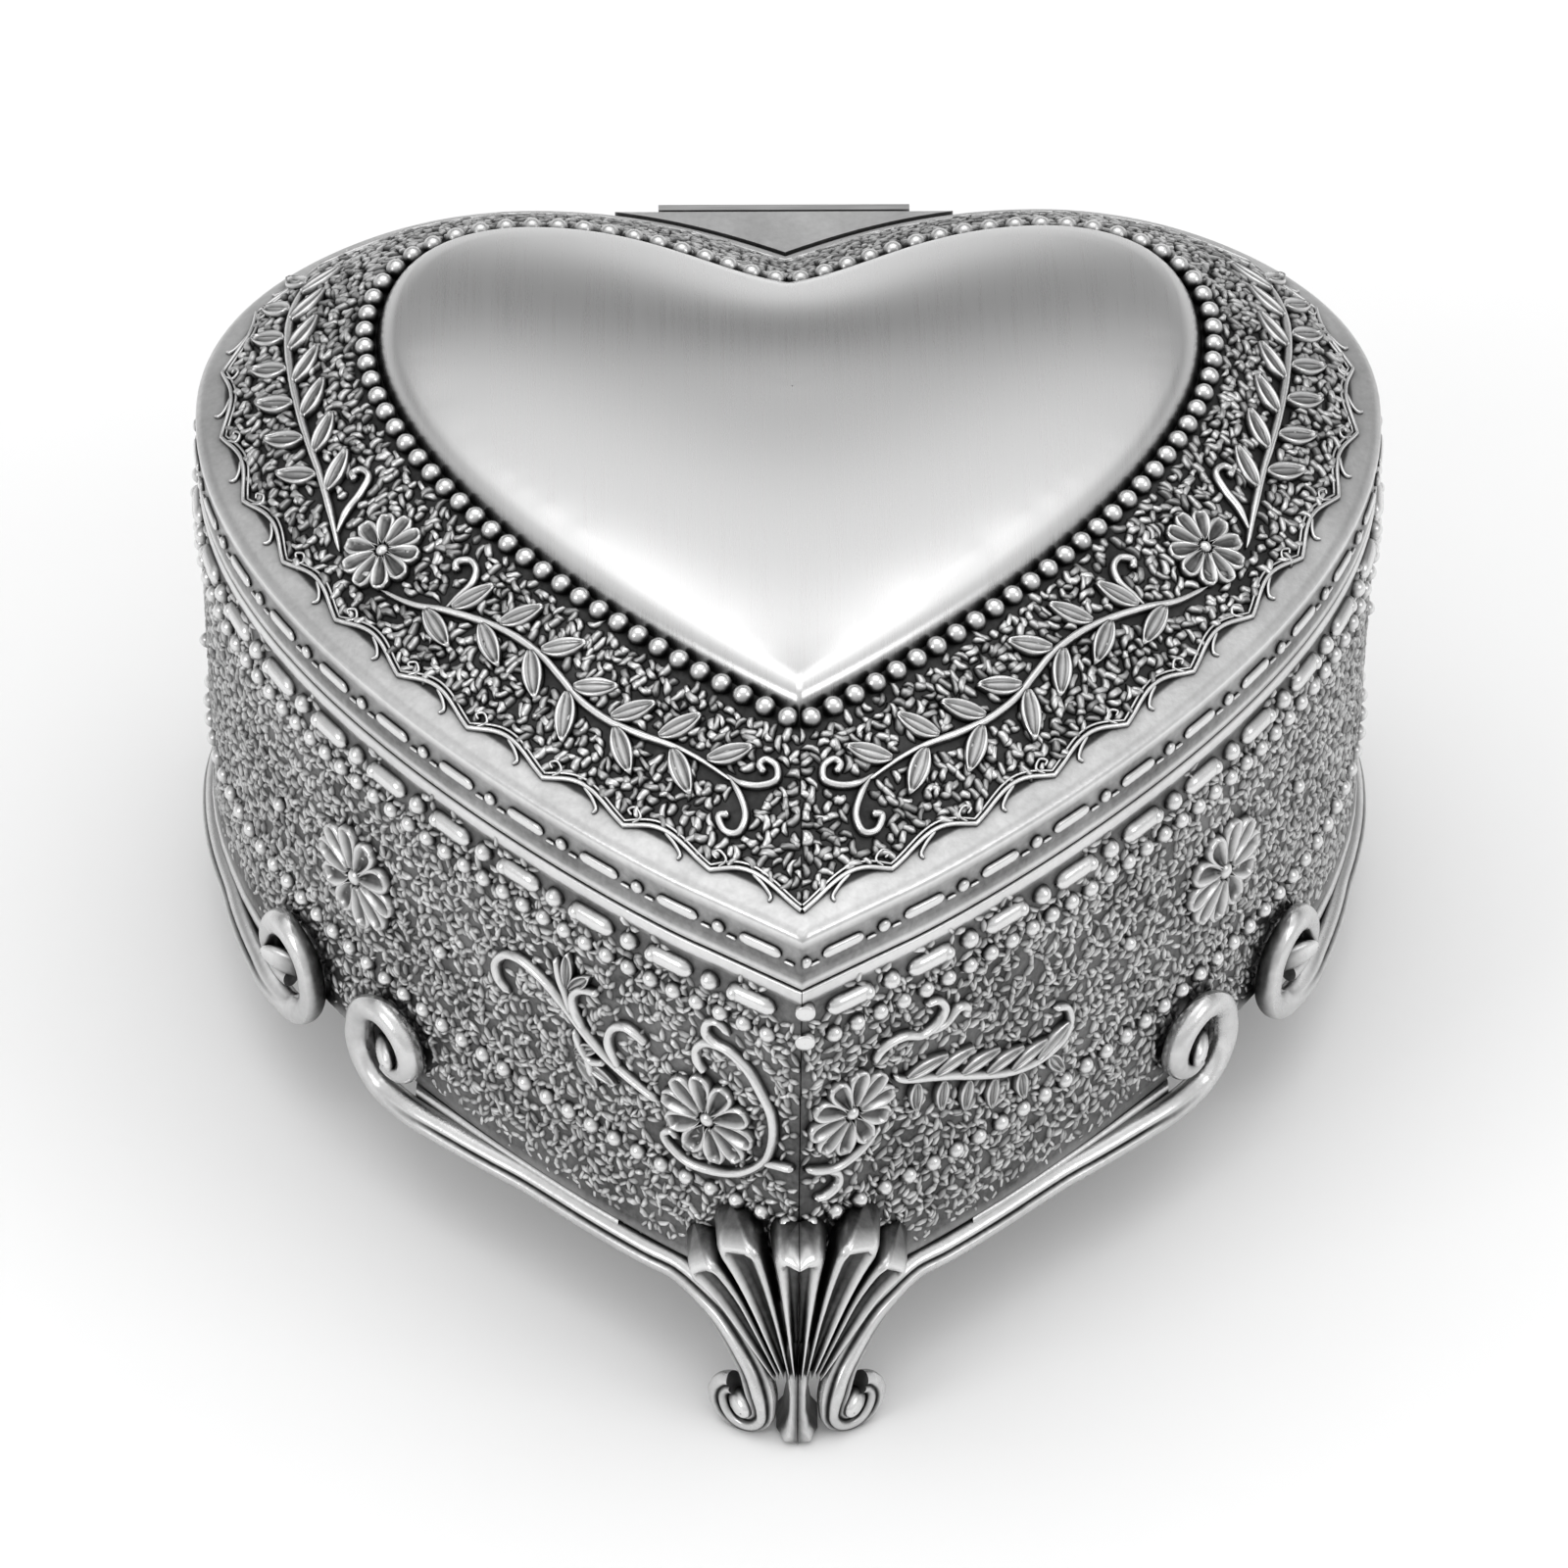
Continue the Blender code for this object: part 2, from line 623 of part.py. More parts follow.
def palmette(name, foot_s, halves, side, group, look):
    """Five-lobed fan over a foot, filled in the flat and bent onto the wall."""
    half = [(u * FAN_WIDTH, z * FAN_HEIGHT) for u, z in FAN_HALF]
    if halves == 1:
        loop = [(max(u, FRONT_SEAM / 2), z) for u, z in half]
    else:
        loop = half[1:] + [(-u, z) for u, z in reversed(half[1:-1])]
    flat = [Vector((u, z + middle_y())) for u, z in loop]
    thing = plan_solid(name, flat, -FAN_THICKNESS / 2, FAN_THICKNESS / 2, group, look)
    bm = bmesh.new()
    bm.from_mesh(thing.data)
    cell_grid(bm)
    for vertex in bm.verts:
        u, z, w = vertex.co
        vertex.co = wall_point(foot_s, u, fan_out(z) + w, z, side)
    bmesh.ops.triangulate(bm, faces=bm.faces)
    bmesh.ops.recalc_face_normals(bm, faces=bm.faces)
    bm.to_mesh(thing.data)
    bm.free()
    return thing


# ---------------------------------------------------------------- hinge

def hinge_leaf(name, spans, z_low, z_high, tab_low, tab_high, group, cutters, look):
    """Leaf with knuckles over the given x spans, bored for the pin."""
    y_low = LEAF_FRONT - middle_y()
    leaf = box(name, (-HINGE_HALF, y_low, z_low), (HINGE_HALF, y_low + LEAF_THICKNESS, z_high),
               group, look)
    for i, (x_low, x_high) in enumerate(spans):
        tab = box(f"{name}_tab_{i}", (x_low, y_low, tab_low),
                  (x_high, y_low + LEAF_THICKNESS, tab_high), group, look)
        boolean(leaf, tab, "UNION", cutters)
        knuckle = barrel(f"{name}_knuckle_{i}", BARREL_RADIUS, x_low, x_high, group, look)
        boolean(leaf, knuckle, "UNION", cutters)
    bore = barrel(name + "_bore", PIN_RADIUS + PIN_CLEARANCE, -2 * HINGE_HALF, 2 * HINGE_HALF,
                  group, look)
    boolean(leaf, bore, "DIFFERENCE", cutters)
    return leaf


def hinge(group, cutters, look):
    reach = BARREL_RADIUS + GAP
    inner = KNUCKLE_HALF + GAP
    lower = hinge_leaf("hinge_leaf_lower", ((-HINGE_HALF, -inner), (inner, HINGE_HALF)),
                       WALL_TOP - LEAF_DROP, PIN_Z - reach, PIN_Z - reach - GAP, PIN_Z,
                       group, cutters, look)
    upper = hinge_leaf("hinge_leaf_upper", ((-KNUCKLE_HALF, KNUCKLE_HALF),),
                       PIN_Z + reach, RIM_TOP, PIN_Z, PIN_Z + reach + GAP,
                       group, cutters, look)
    pin = barrel("hinge_pin", PIN_RADIUS, -HINGE_HALF, HINGE_HALF, group, look)
    return lower, upper, pin


# ---------------------------------------------------------------- assembly

def build_feet(group, cutters, look):
    end = wall_end()
    rear_foot = end - REAR_FOOT_FROM_END
    curl_half = VOLUTE_RADIUS + VOLUTE_TUBE[1] * RAIL_RADIUS
    rear_curl = FRONT_VOLUTE + 2 * curl_half + VOLUTE_GAP
    for word, side in (("left", -1), ("right", 1)):
        scroll(f"front_scroll_{word}", 0.0, 1, FRONT_VOLUTE, RAIL_Z, side, group, cutters, look)
        scroll(f"rear_scroll_{word}", rear_foot, -1, rear_foot - rear_curl,
               RAIL_Z - REAR_RAIL_DROP, side, group, cutters, look)
        scroll(f"back_scroll_{word}", rear_foot, 1, REAR_FOOT_FROM_END - BACK_VOLUTE_FROM_END,
               RAIL_Z - REAR_RAIL_DROP, side, group, cutters, look)
        palmette(f"front_palmette_{word}", 0.0, 1, side, group, look)
        palmette(f"rear_palmette_{word}", rear_foot, 2, side, group, look)


def build_box(group, cutters, silver, steel, velvet):
    for word, side in (("left", -1), ("right", 1)):
        side_wall(f"side_wall_{word}", side, group, silver)
        side_lining(f"lining_{word}", side, group, velvet)
    panel_front = FLAT_BACK - WALL_THICKNESS
    across_back("back_panel", panel_front, FLAT_BACK, WALL_BOTTOM, WALL_TOP, group, silver)
    across_back("lining_back", panel_front - GAP - LINING, panel_front - GAP,
                FLOOR_TOP + 2 * GAP + PAD, WALL_TOP - GAP, group, velvet)
    floor_ring = cavity_ring(LINING_FACE, panel_front - GAP)
    plan_solid("bottom_plate", floor_ring, WALL_BOTTOM, FLOOR_TOP, group, steel)
    plan_solid("lining_floor", floor_ring, FLOOR_TOP + GAP, FLOOR_TOP + GAP + PAD, group, velvet)
    build_feet(group, cutters, silver)


def main():
    clear_scene()
    group = new_collection(COLLECTION)
    cutters = new_collection(COLLECTION + "_cutters")
    silver = material("antique_silver", (0.52, 0.52, 0.51), 1.0, 0.38)
    satin = material("satin_silver", (0.78, 0.78, 0.78), 1.0, 0.30)
    steel = material("hinge_steel", (0.60, 0.60, 0.61), 1.0, 0.35)
    velvet = material("velvet", (0.10, 0.01, 0.02), 0.0, 0.9)
    build_box(group, cutters, silver, steel, velvet)
    lower, upper, pin = hinge(group, cutters, steel)
    lid = [lid_shell(group, satin), lid_back_plate(group, cutters, silver),
           lid_lining(group, velvet), upper]
    axis = bpy.data.objects.new("lid_hinge_axis", None)
    axis.location = (0, PIN_Y - middle_y(), PIN_Z)
    group.objects.link(axis)
    bpy.context.view_layer.update()
    for thing in lid:
        place = thing.matrix_world.copy()
        thing.parent = axis
        thing.matrix_parent_inverse = axis.matrix_world.inverted()
        thing.matrix_world = place
    for thing in group.objects:
        if thing.type == "MESH":
            thing.data.shade_smooth()
            thing.data.set_sharp_from_angle(angle=SHARP_ANGLE)


main()
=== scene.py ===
"""Looks of a heart-shaped trinket box in antique silver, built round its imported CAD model.

Lengths are in millimetres in the frame's own axes, and become metres when a mesh is made.
Relief lies on sheets: tables of points with s along the heart's outline and t across it.
Shapes are worked out for the right half and mirrored for the left, whose wall has its own vines.
"""
import math

import bpy
import numpy as np
from mathutils import Matrix, Vector


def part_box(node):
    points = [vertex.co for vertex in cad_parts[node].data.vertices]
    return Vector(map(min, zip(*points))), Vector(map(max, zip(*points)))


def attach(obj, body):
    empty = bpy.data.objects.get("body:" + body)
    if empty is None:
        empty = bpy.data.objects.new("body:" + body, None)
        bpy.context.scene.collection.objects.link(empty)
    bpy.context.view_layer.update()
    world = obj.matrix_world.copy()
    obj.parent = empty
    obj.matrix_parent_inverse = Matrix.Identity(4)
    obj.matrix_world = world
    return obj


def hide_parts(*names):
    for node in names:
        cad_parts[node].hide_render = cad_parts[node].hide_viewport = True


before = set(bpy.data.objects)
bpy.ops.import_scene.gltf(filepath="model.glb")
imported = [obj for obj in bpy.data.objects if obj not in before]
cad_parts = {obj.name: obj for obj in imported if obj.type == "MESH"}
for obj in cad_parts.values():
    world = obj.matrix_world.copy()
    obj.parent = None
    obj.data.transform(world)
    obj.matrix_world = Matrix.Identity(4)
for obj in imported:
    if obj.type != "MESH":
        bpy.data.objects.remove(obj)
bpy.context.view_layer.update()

MM = 0.001

# ---------------------------------------------------------------- sizes

SHELL_LOW, SHELL_HIGH = (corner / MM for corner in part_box("lid_shell"))
WALL_LOW, WALL_HIGH = (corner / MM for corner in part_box("side_wall_right"))
_, PANEL_HIGH = (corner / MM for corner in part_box("back_panel"))
HALF_WIDTH = SHELL_HIGH.x
WALL_TOP = WALL_HIGH.z
WALL_BOTTOM = WALL_LOW.z
LID_BOTTOM = SHELL_LOW.z
CROWN_Z = SHELL_HIGH.z

BAND_SIDE = 15.9            # lid's edge to the pearls, at the sides and front
BAND_BACK = 12.9            # the same at the back
PEARL_DEPTH = 70.05         # pearl line, front point to the back of its lobes
WALL_INSET = 0.2
WALL_THICKNESS = 2.0
SEAM = 0.04                 # half the seam shown at the front corner
LEDGE = 2.6
RIM_TOP = 58.5
LEDGE_TOP = 59.3
PEARL_Z = 66.1
DOME_EDGE = 17.1            # lid's edge to the foot of the raised heart
LID_THICKNESS = 1.6
SHOULDER_WIDTH = 2.7
SHOULDER_RISE = 2.3

# The heart's outline, as shares of the pearl line's half width and depth
TIP_ANGLE = math.radians(31.5)
CLEFT_ANGLE = math.radians(13.6)
TIP_HANDLE, SIDE_HEIGHT, SIDE_FRONT, SIDE_BACK = 0.079, 0.767, 0.334, 0.182
LOBE_MIDDLE, LOBE_OUT, LOBE_IN = 0.616, 0.163, 0.296
CLEFT_DEPTH, CLEFT_HANDLE = 0.880, 0.159

# Scroll mouldings, the same sizes as the CAD solids that they stand for
RAIL_RADIUS, RAIL_Z, REAR_RAIL_Z = 1.5, 11.3, 10.3
RAIL_OUT, RAIL_TUCK, CLEARANCE = 0.1, 16.0, 0.3
VOLUTE_RADIUS, VOLUTE_RISE = 3.9, 5.9
VOLUTE_STEPS, ROUTE_STEPS, CURL_STEPS = 21, 5, 12
FRONT_CURL, REAR_CURL = 49.6, 60.4
REAR_FOOT_FROM_END, BACK_CURL_FROM_END = 26.0, 6.2
FOOT_OUT, FOOT_CURL, FOOT_CURL_RADIUS, FOOT_TUBE = 4.3, 6.2, 2.5, 1.2
FAN_SEAT, FAN_LEAN = 2.2, 1.7

# Patterns round the box
PERIOD = 8.65               # one bar and one bead
SCALLOPS = 17               # border scallops in half the outline
PEARLS = 49                 # in half the outline
PEARL_RADIUS = 0.97
RIM_ROW = 55.55             # height of the bars on the lid's rim
SEED = 11


# ---------------------------------------------------------------- outline

def bezier(a, b, c, d, count=60):
    """Points along one cubic Bezier, without its last point."""
    t = np.linspace(0, 1, count, endpoint=False)[:, None]
    s = 1 - t
    a, b, c, d = (np.array(p, float) for p in (a, b, c, d))
    return a * s**3 + 3 * b * s * s * t + 3 * c * s * t * t + d * t**3


def pearl_half():
    """Right half of the pearl line, from its front point round the lobe to the cleft."""
    w, h = HALF_WIDTH - BAND_SIDE, PEARL_DEPTH
    side, lobe, cleft = (w, SIDE_HEIGHT * h), (LOBE_MIDDLE * w, h), (0, CLEFT_DEPTH * h)
    tip_way = (math.cos(TIP_ANGLE) * TIP_HANDLE * h, math.sin(TIP_ANGLE) * TIP_HANDLE * h)
    cleft_way = (math.cos(CLEFT_ANGLE) * CLEFT_HANDLE * w, math.sin(CLEFT_ANGLE) * CLEFT_HANDLE * w)
    return np.vstack([
        bezier((0, 0), tip_way, (w, side[1] - SIDE_FRONT * h), side),
        bezier(side, (w, side[1] + SIDE_BACK * h), (lobe[0] + LOBE_OUT * w, h), lobe),
        bezier(lobe, (lobe[0] - LOBE_IN * w, h), (cleft_way[0], cleft[1] + cleft_way[1]), cleft),
        [cleft]])


PEARL_LINE = pearl_half()


def to_middle(line):
    """Cut or extend a half outline so that both its ends lie on the plane x = 0."""
    inside = np.nonzero(line[:, 0] > 0)[0]
    ends = []
    for near, step in ((inside[0], 1), (inside[-1], -1)):
        a = line[near]
        beyond = near - step
        b = line[beyond] if 0 <= beyond < len(line) else line[near + 4 * step]
        ends.append(a + (b - a) * (a[0] / (a[0] - b[0])))
    return np.vstack([ends[0], line[inside[0]:inside[-1] + 1], ends[1]])


def heart_line(out):
    """Right half of the outline `out` beyond the lid's edge, negative inwards, in the frame."""
    before = np.vstack([PEARL_LINE[:1], PEARL_LINE[:-1]])
    after = np.vstack([PEARL_LINE[1:], PEARL_LINE[-1:]])
    along = after - before
    along /= np.linalg.norm(along, axis=1)[:, None]
    normal = np.stack([along[:, 1], -along[:, 0]], 1)
    back = np.clip(normal[:, 1], 0, 1)
    back = back * back * (3 - 2 * back)
    band = BAND_SIDE + (BAND_BACK - BAND_SIDE) * back
    reach = band * (BAND_SIDE + out) / BAND_SIDE if out < 0 else band + out
    return to_middle(PEARL_LINE + normal * reach[:, None]) + np.array([0, FRONT_SHIFT])


FRONT_SHIFT = 0.0
FRONT_SHIFT = SHELL_LOW.y - heart_line(0.0)[0, 1]


def run_lengths(line):
    return np.r_[0, np.cumsum(np.linalg.norm(np.diff(line, axis=0), axis=1))]


def points_along(line, total, lengths):
    """Points of a line at given lengths along it; `total` is its running length."""
    return np.stack([np.interp(lengths, total, line[:, k]) for k in range(line.shape[1])], -1)


def resampled(line, count):
    total = run_lengths(line)
    return points_along(line, total, np.linspace(0, total[-1], count))


def whole_heart(half):
    """Closed outline from a right half whose ends lie on the middle plane."""
    return np.vstack([half, half[-2:0:-1] * [-1, 1]])


WALL_FACE = heart_line(-WALL_INSET)
BACK_HALF = WALL_HIGH.x if PANEL_HIGH.x > WALL_HIGH.x else PANEL_HIGH.x + CLEARANCE


def length_to_back(line):
    """Length of a half outline up to where it comes back to the flat back's edge."""
    total = run_lengths(line)
    top = line[:, 0].argmax()
    return np.interp(-BACK_HALF, -line[top:, 0], total[top:])


WALL_END = length_to_back(WALL_FACE)
REAR_FOOT = WALL_END - REAR_FOOT_FROM_END


# ---------------------------------------------------------------- sheets

class Sheet:
    """A curved face as a table of points, s along the outline and t across it.

    Its outward normal is the s direction crossed with the t direction.
    """

    def __init__(self, points, s_range, t_range):
        self.points = points
        self.s_range, self.t_range = s_range, t_range
        s_step = (s_range[1] - s_range[0]) / (points.shape[0] - 1)
        t_step = (t_range[1] - t_range[0]) / (points.shape[1] - 1)
        self.along = np.gradient(points, axis=0) / s_step
        self.across = np.gradient(points, axis=1) / t_step
        normal = np.cross(self.along, self.across)
        self.normals = normal / np.linalg.norm(normal, axis=2)[..., None]

    def look_up(self, table, s, t):
        rows, columns = table.shape[:2]
        u = (s - self.s_range[0]) / (self.s_range[1] - self.s_range[0]) * (rows - 1)
        v = (t - self.t_range[0]) / (self.t_range[1] - self.t_range[0]) * (columns - 1)
        i = np.clip(np.floor(u), 0, rows - 2).astype(int)
        j = np.clip(np.floor(v), 0, columns - 2).astype(int)
        a = np.clip(u - i, 0, 1)[..., None]
        b = np.clip(v - j, 0, 1)[..., None]
        low = table[i, j] * (1 - a) + table[i + 1, j] * a
        high = table[i, j + 1] * (1 - a) + table[i + 1, j + 1] * a
        return low * (1 - b) + high * b

    def at(self, s, t, height=0.0):
        s, t = np.broadcast_arrays(np.asarray(s, float), np.asarray(t, float))
        lift = np.broadcast_to(np.asarray(height, float), s.shape)[..., None]
        return self.look_up(self.points, s, t) + self.look_up(self.normals, s, t) * lift

    def near(self, s, t, turn, ahead, left):
        """(s, t) of points some millimetres ahead and to the left of a place, after a turn."""
        s, t = np.asarray(s, float), np.asarray(t, float)
        along = self.look_up(self.along, s, t)
        across = self.look_up(self.across, s, t)
        scale = np.linalg.norm(along, axis=-1)
        ahead_way = along / scale[..., None]
        lean = (across * ahead_way).sum(-1)
        width = np.linalg.norm(across - ahead_way * lean[..., None], axis=-1)
        x = ahead * np.cos(turn) - left * np.sin(turn)
        y = ahead * np.sin(turn) + left * np.cos(turn)
        step = y / width
        return s + (x - step * lean) / scale, t + step


LID_ROWS = 1200


def lid_height(t):
    """Height of the lid's sloping band at t from its edge, slightly crowned."""
    share = np.clip((t - LEDGE) / (BAND_SIDE - LEDGE), 0, 1)
    band = LEDGE_TOP + (PEARL_Z - LEDGE_TOP) * share + 0.35 * np.sin(math.pi * share)
    return np.where(t < LEDGE, RIM_TOP + (LEDGE_TOP - RIM_TOP) * t / LEDGE, band)


def lid_sheet():
    """Ledge and band of the lid: s is percent of the half outline, t millimetres inwards."""
    spread = np.linspace(0, BAND_SIDE + 1.0, 70)
    table = np.zeros((LID_ROWS, len(spread), 3))
    for j, t in enumerate(spread):
        table[:, j, :2] = resampled(heart_line(-t), LID_ROWS)
        table[:, j, 2] = lid_height(t)
    return Sheet(table, (0, 100), (spread[0], spread[-1]))


def upright_sheet(line, z_low, z_high):
    """Upright face over a plan line: s is millimetres along it, t the height."""
    length = run_lengths(line)[-1]
    even = resampled(line, 1400)
    heights = np.linspace(z_low, z_high, 60)
    table = np.zeros((len(even), len(heights), 3))
    table[:, :, :2] = even[:, None, :]
    table[:, :, 2] = heights
    return Sheet(table, (0, length), (z_low, z_high))


LID = lid_sheet()
RIM = upright_sheet(heart_line(0.0), LID_BOTTOM, RIM_TOP)
WALL = upright_sheet(WALL_FACE, WALL_BOTTOM, WALL_TOP)
BACK = upright_sheet(np.array([[0, PANEL_HIGH.y], [-BACK_HALF, PANEL_HIGH.y]]), WALL_BOTTOM, WALL_TOP)


# ---------------------------------------------------------------- mesh building

class Relief:
    """Gathers grids of points into one mesh, with a shade for each: 0 sunk and dark, 1 worn bright."""

    def __init__(self):
        self.points, self.quads, self.shades, self.looks = [], [], [], []
        self.count = 0

    def grids(self, points, shade, side=1, closed=False, look=0, winding=None):
        """Add grids of shape (copies, n, m, 3); `closed` joins the second axis into a ring."""
        copies, n, m, _ = points.shape
        index = np.arange(n * m).reshape(n, m)
        if closed:
            index = np.vstack([index, index[:1]])
        quads = np.stack([index[:-1, :-1], index[1:, :-1], index[1:, 1:], index[:-1, 1:]], -1)
        self.add(points.reshape(-1, 3), np.broadcast_to(shade, points.shape[:3]).reshape(-1),
                 quads.reshape(-1, 4)[None] + (np.arange(copies) * n * m)[:, None, None],
                 side, side if winding is None else winding, look)

    def add(self, points, shade, quads, side, winding, look=0):
        """Add points mirrored by `side`, with faces turned over where `winding` is negative."""
        quads = quads.reshape(-1, 4) + self.count
        self.points.append(points * [side, 1, 1])
        self.shades.append(shade)
        self.quads.append(quads if winding > 0 else quads[:, ::-1])
        self.looks.append(np.full(len(quads), look))
        self.count += len(points)

    def build(self, name, looks, body, slot, replaced=()):
        points, quads = np.vstack(self.points), np.vstack(self.quads)
        mesh = bpy.data.meshes.new(name)
        mesh.vertices.add(len(points))
        mesh.vertices.foreach_set("co", (points * MM).astype(np.float32).ravel())
        mesh.loops.add(quads.size)
        mesh.loops.foreach_set("vertex_index", quads.astype(np.int32).ravel())
        mesh.polygons.add(len(quads))
        mesh.polygons.foreach_set("loop_start", np.arange(0, quads.size, 4, dtype=np.int32))
        for look in looks:
            mesh.materials.append(look)
        mesh.polygons.foreach_set("material_index", np.concatenate(self.looks).astype(np.int32))
        shade = mesh.attributes.new("shade", "FLOAT", "POINT")
        shade.data.foreach_set("value", np.concatenate(self.shades).astype(np.float32))
        mesh.update(calc_edges=True)
        mesh.shade_smooth()
        thing = bpy.data.objects.new(name, mesh)
        bpy.context.scene.collection.objects.link(thing)
        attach(thing, body)
        if replaced:
            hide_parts(*replaced)
        return thing


def smooth_path(points, per_span=8):
    """Catmull-Rom curve through given points."""
    p = np.array(points, float)
    p = np.vstack([2 * p[0] - p[1], p, 2 * p[-1] - p[-2]])
    t = np.linspace(0, 1, per_span, endpoint=False)[:, None]
    parts = []
    for a, b, c, d in zip(p, p[1:], p[2:], p[3:]):
        parts.append(0.5 * (2 * b + (c - a) * t + (2 * a - 5 * b + 4 * c - d) * t * t
                            + (3 * b - a - 3 * c + d) * t**3))
    return np.vstack(parts + [p[-2:-1]])


ROLL = np.radians(np.array([200, 165, 130, 90, 50, 15, -20]))
ROLL_SHADE = np.array([0.0, 0.55, 0.9, 1.0, 0.9, 0.55, 0.0])


def sweep(relief, points, normals, radius, height, side):
    """Half-round moulding along a run of points on a face."""
    ahead = np.gradient(points, axis=0)
    ahead /= np.linalg.norm(ahead, axis=1)[:, None]
    left = np.cross(normals, ahead)
    ring = (left[:, None] * (np.cos(ROLL)[None, :, None] * radius[:, None, None])
            + normals[:, None] * (np.sin(ROLL)[None, :, None] * height[:, None, None]))
    relief.grids((points[:, None] + ring)[None], ROLL_SHADE, side)


def stem(relief, sheet, path, radius, height, side, start=0.6, end=0.5):
    """Stem along listed (s, t) points, thinner at its ends."""
    way = smooth_path(path)
    points = sheet.at(way[:, 0], way[:, 1])
    normals = sheet.look_up(sheet.normals, way[:, 0], way[:, 1])
    share = np.linspace(0, 1, len(way))
    thick = np.interp(share, (0, 0.02, 0.15, 0.75, 0.98, 1), (0.1, start, 1, 1, end, 0.1))
    sweep(relief, points, normals, radius * thick, height * (0.4 + 0.6 * thick), side)
    return points


def bar(relief, sheet, s, t, half, radius, height, side):
    """Round-ended bar along the outline; s is its middle in the sheet's own unit."""
    place = half * np.sin(np.linspace(-math.pi / 2, math.pi / 2, 13))
    s_line, t_line = sheet.near(s, t, 0.0, place, 0.0)
    points = sheet.at(s_line, t_line)
    normals = sheet.look_up(sheet.normals, s_line, t_line)
    inset = np.clip((half - np.abs(place)) / radius, 0, 1)
    thick = np.sqrt(np.clip(1 - (1 - inset)**2, 0.01, 1))
    sweep(relief, points, normals, radius * thick, height * (0.25 + 0.75 * thick), side)


BEAD_RINGS = np.radians((-20, 5, 30, 52, 72, 88))[None, :]


def beads(relief, sheet, s, t, radius, height, side):
    """Round beads at many places at once."""
    s, t = np.broadcast_arrays(np.atleast_1d(np.asarray(s, float)), t)
    around = np.linspace(0, 2 * math.pi, 12, endpoint=False)[:, None]
    ahead = np.cos(around) * np.cos(BEAD_RINGS) * radius
    left = np.sin(around) * np.cos(BEAD_RINGS) * radius
    s_all, t_all = sheet.near(s[:, None, None], t[:, None, None], 0.0, ahead, left)
    points = sheet.at(s_all, t_all, np.sin(BEAD_RINGS) * height)
    relief.grids(points, np.clip(0.15 + np.sin(BEAD_RINGS), 0, 1), side, closed=True)


def mirrored(half):
    """A section across a leaf from its left half, which ends at the middle."""
    return np.array(list(half) + list(half[-2::-1]), float)


# Columns across a leaf, then the height and the shade of each, from its edge to its middle
ACROSS = np.array([-1, -0.9, -0.74, -0.56, -0.36, 0, 0.36, 0.56, 0.74, 0.9, 1])
BLADE_CLOSES, BLADE_CLOSED = 0.82, 0.93     # share of the length where the dish ends
LEAF = mirrored((-0.15, 0.65, 1, 0.75, 0.4, 0.75)), mirrored((0.0, 0.7, 1, 0.8, 0.3, 0.85))
PETAL = mirrored((-0.15, 0.6, 1, 0.9, 0.35, 0.3)), mirrored((0.1, 0.7, 1, 0.85, 0.25, 0.2))


def blade_grid(width_of, section, height, length):
    """Grid of one leaf or petal: (ahead, left, height, shade), base at the origin."""
    u = np.r_[0, 0.04, 0.1, np.linspace(0.18, 0.82, 8), 0.88, 0.93, 0.97, 1][:, None]
    width = np.maximum(width_of(u), 0.02)
    ahead = u * length * np.ones_like(ACROSS)
    left = width * ACROSS
    end = np.clip((u - BLADE_CLOSES) / (BLADE_CLOSED - BLADE_CLOSES), 0, 1)
    start = 1 - np.clip(u / 0.12, 0, 1)
    solid = np.maximum(end, start) * (np.abs(ACROSS) < 0.8)
    drop = np.clip((1 - u) / 0.05, 0, 1) * np.clip(u / 0.04 + 0.3, 0, 1)
    rise, shade = ((part + (1 - part) * solid) * drop for part in section)
    return ahead, left, rise * height, np.clip(shade, 0, 1)


def leaf_width(width):
    return lambda u: width / 2 * np.sin(math.pi * np.clip(u, 0.004, 0.996)**0.85)**0.8


def petal_width(width):
    return lambda u: width / 2 * np.sqrt(np.sin(math.pi * np.clip(u, 0.01, 0.985)**1.55))


def lay_blade(relief, sheet, s, t, turn, grid, side):
    ahead, left, rise, shade = grid
    s_all, t_all = sheet.near(np.full(ahead.shape, float(s)), np.full(ahead.shape, float(t)),
                              turn, ahead, left)
    relief.grids(sheet.at(s_all, t_all, rise)[None], shade, side)


PETALS, FIRST_PETAL = 10, 0.1


def daisy(relief, sheet, s, t, radius, side, height=0.75):
    """Flower of dished petals round a bead."""
    grid = blade_grid(petal_width(radius * 0.55), PETAL, height, radius * 0.84)
    for k in range(PETALS):
        turn = FIRST_PETAL + 2 * math.pi * k / PETALS
        s_base, t_base = sheet.near(s, t, turn, radius * 0.16, 0.0)
        lay_blade(relief, sheet, s_base, t_base, turn, grid, side)
    beads(relief, sheet, s, t, radius * 0.19, height * 1.2, side)


